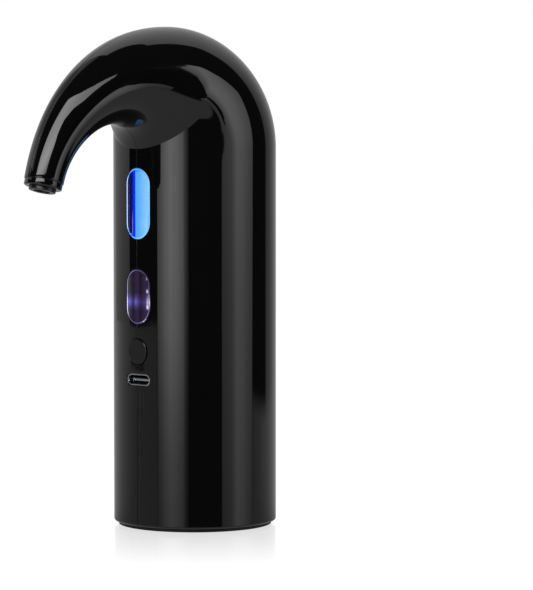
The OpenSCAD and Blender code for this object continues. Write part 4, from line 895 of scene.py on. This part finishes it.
class AERATOR_OT_port(bpy.types.Operator):
    """Builds the charging port's metal shell and the tongue in it"""

    bl_idname = "aerator.port"
    bl_label = "Charging port"

    def execute(self, context):
        f = context.scene.aerator_front
        size, middle_z = PORT_HIGH - PORT_LOW, (PORT_LOW.z + PORT_HIGH.z) / 2
        lip_round, blade_round, round_steps = 0.06 * MM, 0.12 * MM, 2
        bm = bmesh.new()
        back = pill(bm, size.x, size.z, (0, PORT_HIGH.y, middle_z))
        mouth = pull(bm, back, (0, -size.y, 0))
        bmesh.ops.inset_region(bm, faces=[mouth], thickness=f.port_wall, use_even_offset=True)
        pit_floor = pull(bm, mouth, (0, size.y - f.port_wall, 0))
        lip = [e for e in bm.edges if all(abs(v.co.y - PORT_LOW.y) < NEAR for v in e.verts)
               and any(face.normal.y > -0.5 for face in e.link_faces)]
        round_edges(bm, lip, lip_round, round_steps)
        if not pit_floor.is_valid:
            raise RuntimeError("the charging port lost the floor of its pit")
        make_piece("port_shell", bm, "housing", [finish("steel")], ["charge_port"])

        plug_y, plug_l, blade_start = PORT_HIGH.y - 0.5 * MM, 1.6 * MM, 1.7 * MM
        blade_side, blade_h, contact_l = 0.8 * MM, 0.7 * MM, 0.5 * MM
        tongue_w, tongue_h = TONGUE_HIGH.x - TONGUE_LOW.x, TONGUE_HIGH.z - TONGUE_LOW.z
        tongue = bmesh.new()
        plug = pill(tongue, tongue_w, tongue_h, (0, plug_y, middle_z))
        pull(tongue, plug, (0, -plug_l, 0))
        blade_w, blade_l = 2 * (TONGUE_HIGH.x - blade_side), plug_y - blade_start - TONGUE_LOW.y
        place = Matrix.Translation((0, TONGUE_LOW.y + blade_l / 2, middle_z))
        shape = Matrix.Diagonal((blade_w, blade_l, blade_h, 1))
        blade = bmesh.ops.create_cube(tongue, size=1, matrix=place @ shape)["verts"]
        edges = list({e for v in blade for e in v.link_edges})
        round_edges(tongue, edges, blade_round, round_steps)
        for face in tongue.faces:
            face.material_index = int(face.calc_center_median().y < TONGUE_LOW.y + contact_l)
        make_piece("port_contact_tongue", tongue, "housing",
                   [finish("matte_black"), finish("steel")], ["port_tongue"])
        return {"FINISHED"}


class AERATOR_OT_foot(bpy.types.Operator):
    """Builds the rubber foot ring"""

    bl_idname = "aerator.foot"
    bl_label = "Foot ring"

    def execute(self, context):
        bore, radius, low, high = context.scene.aerator_front.foot_bore, FOOT_HIGH.x, FOOT_LOW.z, FOOT_HIGH.z
        corner, steps = 0.25 * MM, 160
        bm = lathe([(bore, low), (radius, low), (radius, high), (bore, high)], steps, closed=True)
        round_rings(bm, [(radius, low), (bore, low), (radius, high)], corner)
        make_piece("foot_pad", bm, "housing", [finish("rubber_black")], ["foot_ring"])
        return {"FINISHED"}


class AERATOR_OT_inner_finishes(bpy.types.Operator):
    """Gives every piece of the construction that still shows the finish of its slot"""

    bl_idname = "aerator.inner_finishes"
    bl_label = "Inner finishes"

    def execute(self, context):
        for node, piece in frame["nodes"].items():
            if piece.hide_render:
                continue
            slot = NODE_SLOTS[node]
            for place in piece.material_slots:
                place.material = finish(slot)
        return {"FINISHED"}


def lit_panel(name, strength, axis, span, across, heights, upward):
    """Lit cloth or paper, whose brightness follows the stops across an axis and the stops up its height."""
    made, tree, here = new_finish(name)
    along = put(tree, "ShaderNodeVectorMath", {0: here, 1: axis}, operation="DOT_PRODUCT")
    place = put(tree, "ShaderNodeSeparateXYZ", {"Vector": here})
    levels = []
    for value, (low, high), stops in (
        (along.outputs["Value"], span, across), (place.outputs["Z"], heights, upward),
    ):
        share_of = put(tree, "ShaderNodeMapRange", {"Value": value, "From Min": low, "From Max": high})
        levels.append(put(tree, "ShaderNodeValToRGB", {"Fac": share_of}, stops=stops))
    both = put(tree, "ShaderNodeMath", {0: levels[0], 1: levels[1]}, operation="MULTIPLY")
    level = put(tree, "ShaderNodeMath", {0: both, 1: strength}, operation="MULTIPLY")
    return close(made, put(tree, "ShaderNodeEmission", {"Color": WHITE, "Strength": level}))


def stage_panel(name, bm, material):
    """A panel of the studio, which the camera doesn't see."""
    mesh = bpy.data.meshes.new(name)
    bm.to_mesh(mesh)
    bm.free()
    mesh.materials.append(material)
    panel = bpy.data.objects.new(name, mesh)
    bpy.context.scene.collection.objects.link(panel)
    panel.visible_camera = False
    return panel


class AERATOR_OT_stage(bpy.types.Operator):
    """Sets the camera, the white table, the tent, the soft boxes, the bounce card and the flag"""

    bl_idname = "aerator.stage"
    bl_label = "Stage"

    def execute(self, context):
        studio = context.scene.aerator_studio
        toward = Vector((math.sin(studio.camera_azimuth), -math.cos(studio.camera_azimuth), 0))
        right = Vector((math.cos(studio.camera_azimuth), math.sin(studio.camera_azimuth), 0))
        self.camera(context, studio, toward, right)
        self.world(context)
        self.floor(toward, right)
        self.tent(studio, toward, right)
        # Corners by their angles right of the camera and above the horizon, then brightness across and up
        self.panel("soft_box_left", studio, toward, right, strength=2.6, corners=[
            (-53.5, -14), (-8, -14), (-8, 13), (-53.5, 13),
        ], across=[
            (0, 0.3), (0.245, 0.68), (0.43, 1), (0.61, 0.86), (0.8, 0.58), (0.87, 0.25), (1, 0.02),
        ], upward=[
            (0, 0.3), (0.05, 0.33), (0.12, 0.4), (0.185, 0.53), (0.285, 0.82), (0.385, 0.97), (0.47, 1),
            (0.75, 0.9), (1, 0.3),
        ])
        self.panel("soft_box_high", studio, toward, right, strength=6.2, corners=[
            (-47, 18), (6, 17), (7, 26), (0.5, 34), (-0.5, 41), (11, 43), (27, 38), (36, 38.5), (44, 39.5),
            (44, 43), (25, 51), (0, 58), (-45, 61),
        ], across=[
            (0, 0.95), (0.55, 1), (0.75, 0.7), (1, 0.45),
        ], upward=[
            (0, 0.4), (0.13, 0.9), (0.24, 1), (0.5, 0.8), (1, 0.7),
        ])
        self.panel("soft_box_right", studio, toward, right, strength=2.1, corners=[
            (38, -14), (87, -14), (89, 0), (92, 23), (66, 43), (60, 42), (54, 36.5), (50.8, 30.2),
            (47.3, 20.5), (53.6, 8.5), (50.3, 2.5), (44.8, 0.5), (38, -0.5),
        ], across=[
            (0, 0.33), (0.3, 0.52), (0.46, 1), (0.62, 0.86), (0.8, 0.6), (1, 0.42),
        ], upward=[
            (0, 0.35), (0.2, 0.6), (0.33, 0.85), (0.55, 1), (1, 0.9),
        ])
        self.panel("bounce_card_left", studio, toward, right, strength=0.85, corners=[
            (-147, -15), (-104, -15), (-104, 18), (-76, 21), (-80, 28), (-104, 42), (-147, 62),
        ], across=[
            (0, 0.8), (1, 1),
        ], upward=[
            (0, 0.46), (0.11, 0.46), (0.16, 0.38), (0.24, 0.55), (0.3, 0.9), (0.44, 1), (0.5, 0.6),
            (0.6, 0.36), (1, 0.47),
        ])
        self.flag(toward, right)
        context.scene.view_settings.view_transform = "Standard"
        return {"FINISHED"}

    def camera(self, context, studio, toward, right):
        """The photograph's view, from its focal length and the place it aims at."""
        made = bpy.data.cameras.new("camera")
        made.sensor_width = 36
        made.lens = made.sensor_width * studio.focal_pixels / max(FRAME_W, FRAME_H)
        made.clip_start = 0.01
        camera = bpy.data.objects.new("camera", made)
        context.scene.collection.objects.link(camera)
        camera.location = toward * studio.camera_distance + Vector((0, 0, studio.camera_height))
        aim = -toward * studio.focal_pixels + right * studio.aim_right - Vector((0, 0, studio.aim_down))
        camera.rotation_euler = aim.to_track_quat("-Z", "Y").to_euler()
        context.scene.camera = camera

    def world(self, context):
        """A white background for the camera, and a dim room for every other ray."""
        dim, white = 0.02, 1
        world = bpy.data.worlds.new("dim_studio")
        world.use_nodes = True
        tree = world.node_tree
        tree.nodes.clear()
        rays = put(tree, "ShaderNodeLightPath")
        level = put(tree, "ShaderNodeMapRange", {
            "Value": rays.outputs["Is Camera Ray"], "To Min": dim, "To Max": white,
        })
        sky = put(tree, "ShaderNodeBackground", {"Color": WHITE, "Strength": level})
        put(tree, "ShaderNodeOutputWorld", {"Surface": sky})
        context.scene.world = world

    def floor(self, toward, right):
        """A white table: the camera sees it white with a faint mirror image, the object sees it dimmer."""
        table_r, steps = 0.85, 96
        mirror_near, mirror_far, mirror_share, shadow_share = 22 * MM, 88 * MM, 0.3, 0.06
        # Lines that pass under the object, each by the direction of its lit side and its place along that
        cover_lines = (
            (toward * -0.82 - right * 0.572, -11.5 * MM), (right * 0.014 - toward, -17.4 * MM),
        )
        back_level, front_level, steep_level, blur = 0.46, 0.27, 0.45, 1 * MM
        back_turn, front_turn, steep_full, steep_gone = -0.9, 0.1, 0.74, 0.84
        side_near, side_far, side_way = 0.32, 0.48, right - toward * 0.45
        made, tree, here = new_finish("satin_white_table")
        rays = put(tree, "ShaderNodeLightPath")
        shape = put(tree, "ShaderNodeNewGeometry")
        off = put(tree, "ShaderNodeVectorMath", {0: here}, operation="LENGTH")
        mirror = put(tree, "ShaderNodeMapRange", {
            "Value": off.outputs["Value"], "From Min": mirror_near, "From Max": mirror_far,
            "To Min": mirror_share, "To Max": 0,
        })
        white = put(tree, "ShaderNodeEmission", {"Color": WHITE, "Strength": 1.05})
        grey = put(tree, "ShaderNodeBsdfDiffuse", {"Color": (0.9, 0.9, 0.9, 1)})
        top = put(tree, "ShaderNodeMixShader", {0: shadow_share, 1: white, 2: grey})
        # The mirror image of the tent, which is dimmer than white, is lifted back to white
        gloss = put(tree, "ShaderNodeBsdfGlossy", {"Color": (2.2, 2.2, 2.2, 1), "Roughness": 0.08})
        seen = put(tree, "ShaderNodeMixShader", {0: mirror, 1: top, 2: gloss})
        # Seen in the object, the table is lit beyond either line and where it is looked down on. Elsewhere it
        # lets the soft boxes show, as a polished top would mirror them
        sides = []
        for outward, past in cover_lines:
            reach = put(tree, "ShaderNodeVectorMath", {0: here, 1: outward}, operation="DOT_PRODUCT")
            sides.append(put(tree, "ShaderNodeMapRange", {
                "Value": reach.outputs["Value"], "From Min": past - blur, "From Max": past + blur,
            }))
        behind = put(tree, "ShaderNodeMath", {0: sides[0], 1: sides[1]}, operation="MAXIMUM")
        way = put(tree, "ShaderNodeVectorMath", {0: here}, operation="NORMALIZE")
        ahead = put(tree, "ShaderNodeVectorMath", {0: way, 1: toward}, operation="DOT_PRODUCT")
        level = put(tree, "ShaderNodeMapRange", {
            "Value": ahead.outputs["Value"], "From Min": back_turn, "From Max": front_turn,
            "To Min": back_level, "To Max": front_level,
        })
        facing = put(tree, "ShaderNodeLayerWeight", {"Blend": 0.5})
        steep = put(tree, "ShaderNodeMapRange", {
            "Value": facing.outputs["Facing"], "From Min": steep_full, "From Max": steep_gone,
            "To Min": 1, "To Max": 0,
        }, interpolation_type="SMOOTHSTEP")
        covered = put(tree, "ShaderNodeMath", {0: behind, 1: steep}, operation="MAXIMUM")
        # The light ends before the table's edge on the right
        sideways = put(tree, "ShaderNodeVectorMath", {0: here, 1: side_way}, operation="DOT_PRODUCT")
        on_table = put(tree, "ShaderNodeMapRange", {
            "Value": sideways.outputs["Value"], "From Min": side_near, "From Max": side_far,
            "To Min": 1, "To Max": 0,
        }, interpolation_type="SMOOTHSTEP")
        solid = put(tree, "ShaderNodeMath", {0: covered, 1: on_table}, operation="MULTIPLY")
        shine = put(tree, "ShaderNodeMapRange", {"Value": steep, "To Min": level, "To Max": steep_level})
        lit_top = put(tree, "ShaderNodeEmission", {"Color": WHITE, "Strength": shine})
        clear = put(tree, "ShaderNodeBsdfTransparent")
        dim = put(tree, "ShaderNodeMixShader", {0: solid, 1: clear, 2: lit_top})
        either = put(tree, "ShaderNodeMixShader", {0: rays.outputs["Is Camera Ray"], 1: dim, 2: seen})
        close(made, put(tree, "ShaderNodeMixShader", {0: shape.outputs["Backfacing"], 1: either, 2: clear}))
        bm = bmesh.new()
        bmesh.ops.create_circle(bm, cap_ends=True, segments=steps, radius=table_r)
        table = stage_panel("table_top", bm, made)
        table.visible_camera = True

    def aim(self, toward, right, corner):
        """The direction of a corner, from its angles right of the camera and above the horizon."""
        across, up = (math.radians(degrees) for degrees in corner)
        level = toward * math.cos(across) + right * math.sin(across)
        return level * math.cos(up) + Vector((0, 0, math.sin(up)))

    def tent(self, studio, toward, right):
        """A white dome behind the object, brightest overhead and dimmer at its sides."""
        # Angles right of the camera and above the horizon
        first, last, low, high = 119, 213, -10, 76
        rings, steps, radius, swing = 20, 32, studio.tent_radius, math.radians(last - first)
        bm = bmesh.new()
        arc = [bm.verts.new(self.aim(toward, right, (first, low + (high - low) * i / rings)) * radius)
               for i in range(rings + 1)]
        edges = [bm.edges.new(pair) for pair in zip(arc, arc[1:])]
        bmesh.ops.spin(
            bm, geom=arc + edges, cent=(0, 0, 0), axis=(0, 0, 1), angle=swing, steps=steps
        )
        stage_panel("white_tent", bm, lit_panel(
            "white_tent_cloth", strength=0.52, axis=right,
            span=(-0.55 * radius, 0.91 * radius), across=[(0, 0.92), (0.38, 1), (0.72, 0.82), (1, 0.4)],
            heights=(0, radius), upward=[(0, 1), (0.5, 1.15), (0.9, 1.6)],
        ))

    def flag(self, toward, right):
        """A black flag between the right soft box and the spout's side."""
        bearing, distance = math.radians(60), 200 * MM
        out = toward * math.cos(bearing) + right * math.sin(bearing)
        side = toward * math.sin(bearing) - right * math.cos(bearing)
        # Across and up, in millimetres
        outline = [
            (51, 250), (95, 250), (125, 110), (56, 110), (47, 117), (40, 123), (41, 134), (43, 150),
            (49, 163),
        ]
        corners = [out * distance + side * (x * MM) + Vector((0, 0, z * MM)) for x, z in outline]
        bm = bmesh.new()
        bm.faces.new([bm.verts.new(corner) for corner in corners])
        # Felt: a dull black with a coarse nap
        stage_panel("black_flag", bm, moulded("black_felt", linear("#050505"), 0.9, 1, 0.05))

    def panel(self, name, studio, toward, right, strength, corners, across, upward):
        """A flat panel of lit cloth that faces the object."""
        aims = [self.aim(toward, right, corner) for corner in corners]
        middle = sum(aims, Vector()).normalized()
        eye = Vector((0, 0, studio.light_height))
        points = [eye + aim * (studio.box_distance / aim.dot(middle)) for aim in aims]
        bm = bmesh.new()
        bm.faces.new([bm.verts.new(point) for point in points])
        axis = Vector((-middle.y, middle.x, 0)).normalized()
        sides, heights = [point.dot(axis) for point in points], [point.z for point in points]
        stage_panel(name, bm, lit_panel(
            name + "_cloth", strength, axis, (min(sides), max(sides)), across,
            (min(heights), max(heights)), upward,
        ))


class AERATOR_PT_panel(bpy.types.Panel):
    """Lists the aerator's pieces and its sizes"""

    bl_label = "Aerator"
    bl_idname = "AERATOR_PT_panel"
    bl_space_type = "VIEW_3D"
    bl_region_type = "UI"
    bl_category = "Aerator"

    def draw(self, context):
        for group in GROUPS:
            column = self.layout.column(align=True)
            for key in group.__annotations__:
                column.prop(getattr(context.scene, GROUPS[group]), key)
        for operator in OPERATORS:
            self.layout.operator(operator.bl_idname)


GROUPS = {
    HousingSizes: "aerator_housing", FrontSizes: "aerator_front",
    StudioSizes: "aerator_studio", FinishColours: "aerator_colours",
}
OPERATORS = [
    AERATOR_OT_stage, AERATOR_OT_shells, AERATOR_OT_windows, AERATOR_OT_button, AERATOR_OT_spout_end,
    AERATOR_OT_port, AERATOR_OT_foot, AERATOR_OT_inner_finishes,
]


def register():
    for group, name in GROUPS.items():
        bpy.utils.register_class(group)
        setattr(bpy.types.Scene, name, bpy.props.PointerProperty(type=group))
    for made in [*OPERATORS, AERATOR_PT_panel]:
        bpy.utils.register_class(made)


def unregister():
    for made in [AERATOR_PT_panel, *reversed(OPERATORS)]:
        bpy.utils.unregister_class(made)
    for group, name in GROUPS.items():
        delattr(bpy.types.Scene, name)
        bpy.utils.unregister_class(group)


def main():
    register()
    for operator in OPERATORS:
        family, name = operator.bl_idname.split(".")
        getattr(getattr(bpy.ops, family), name)()


if __name__ == "__main__":
    main()
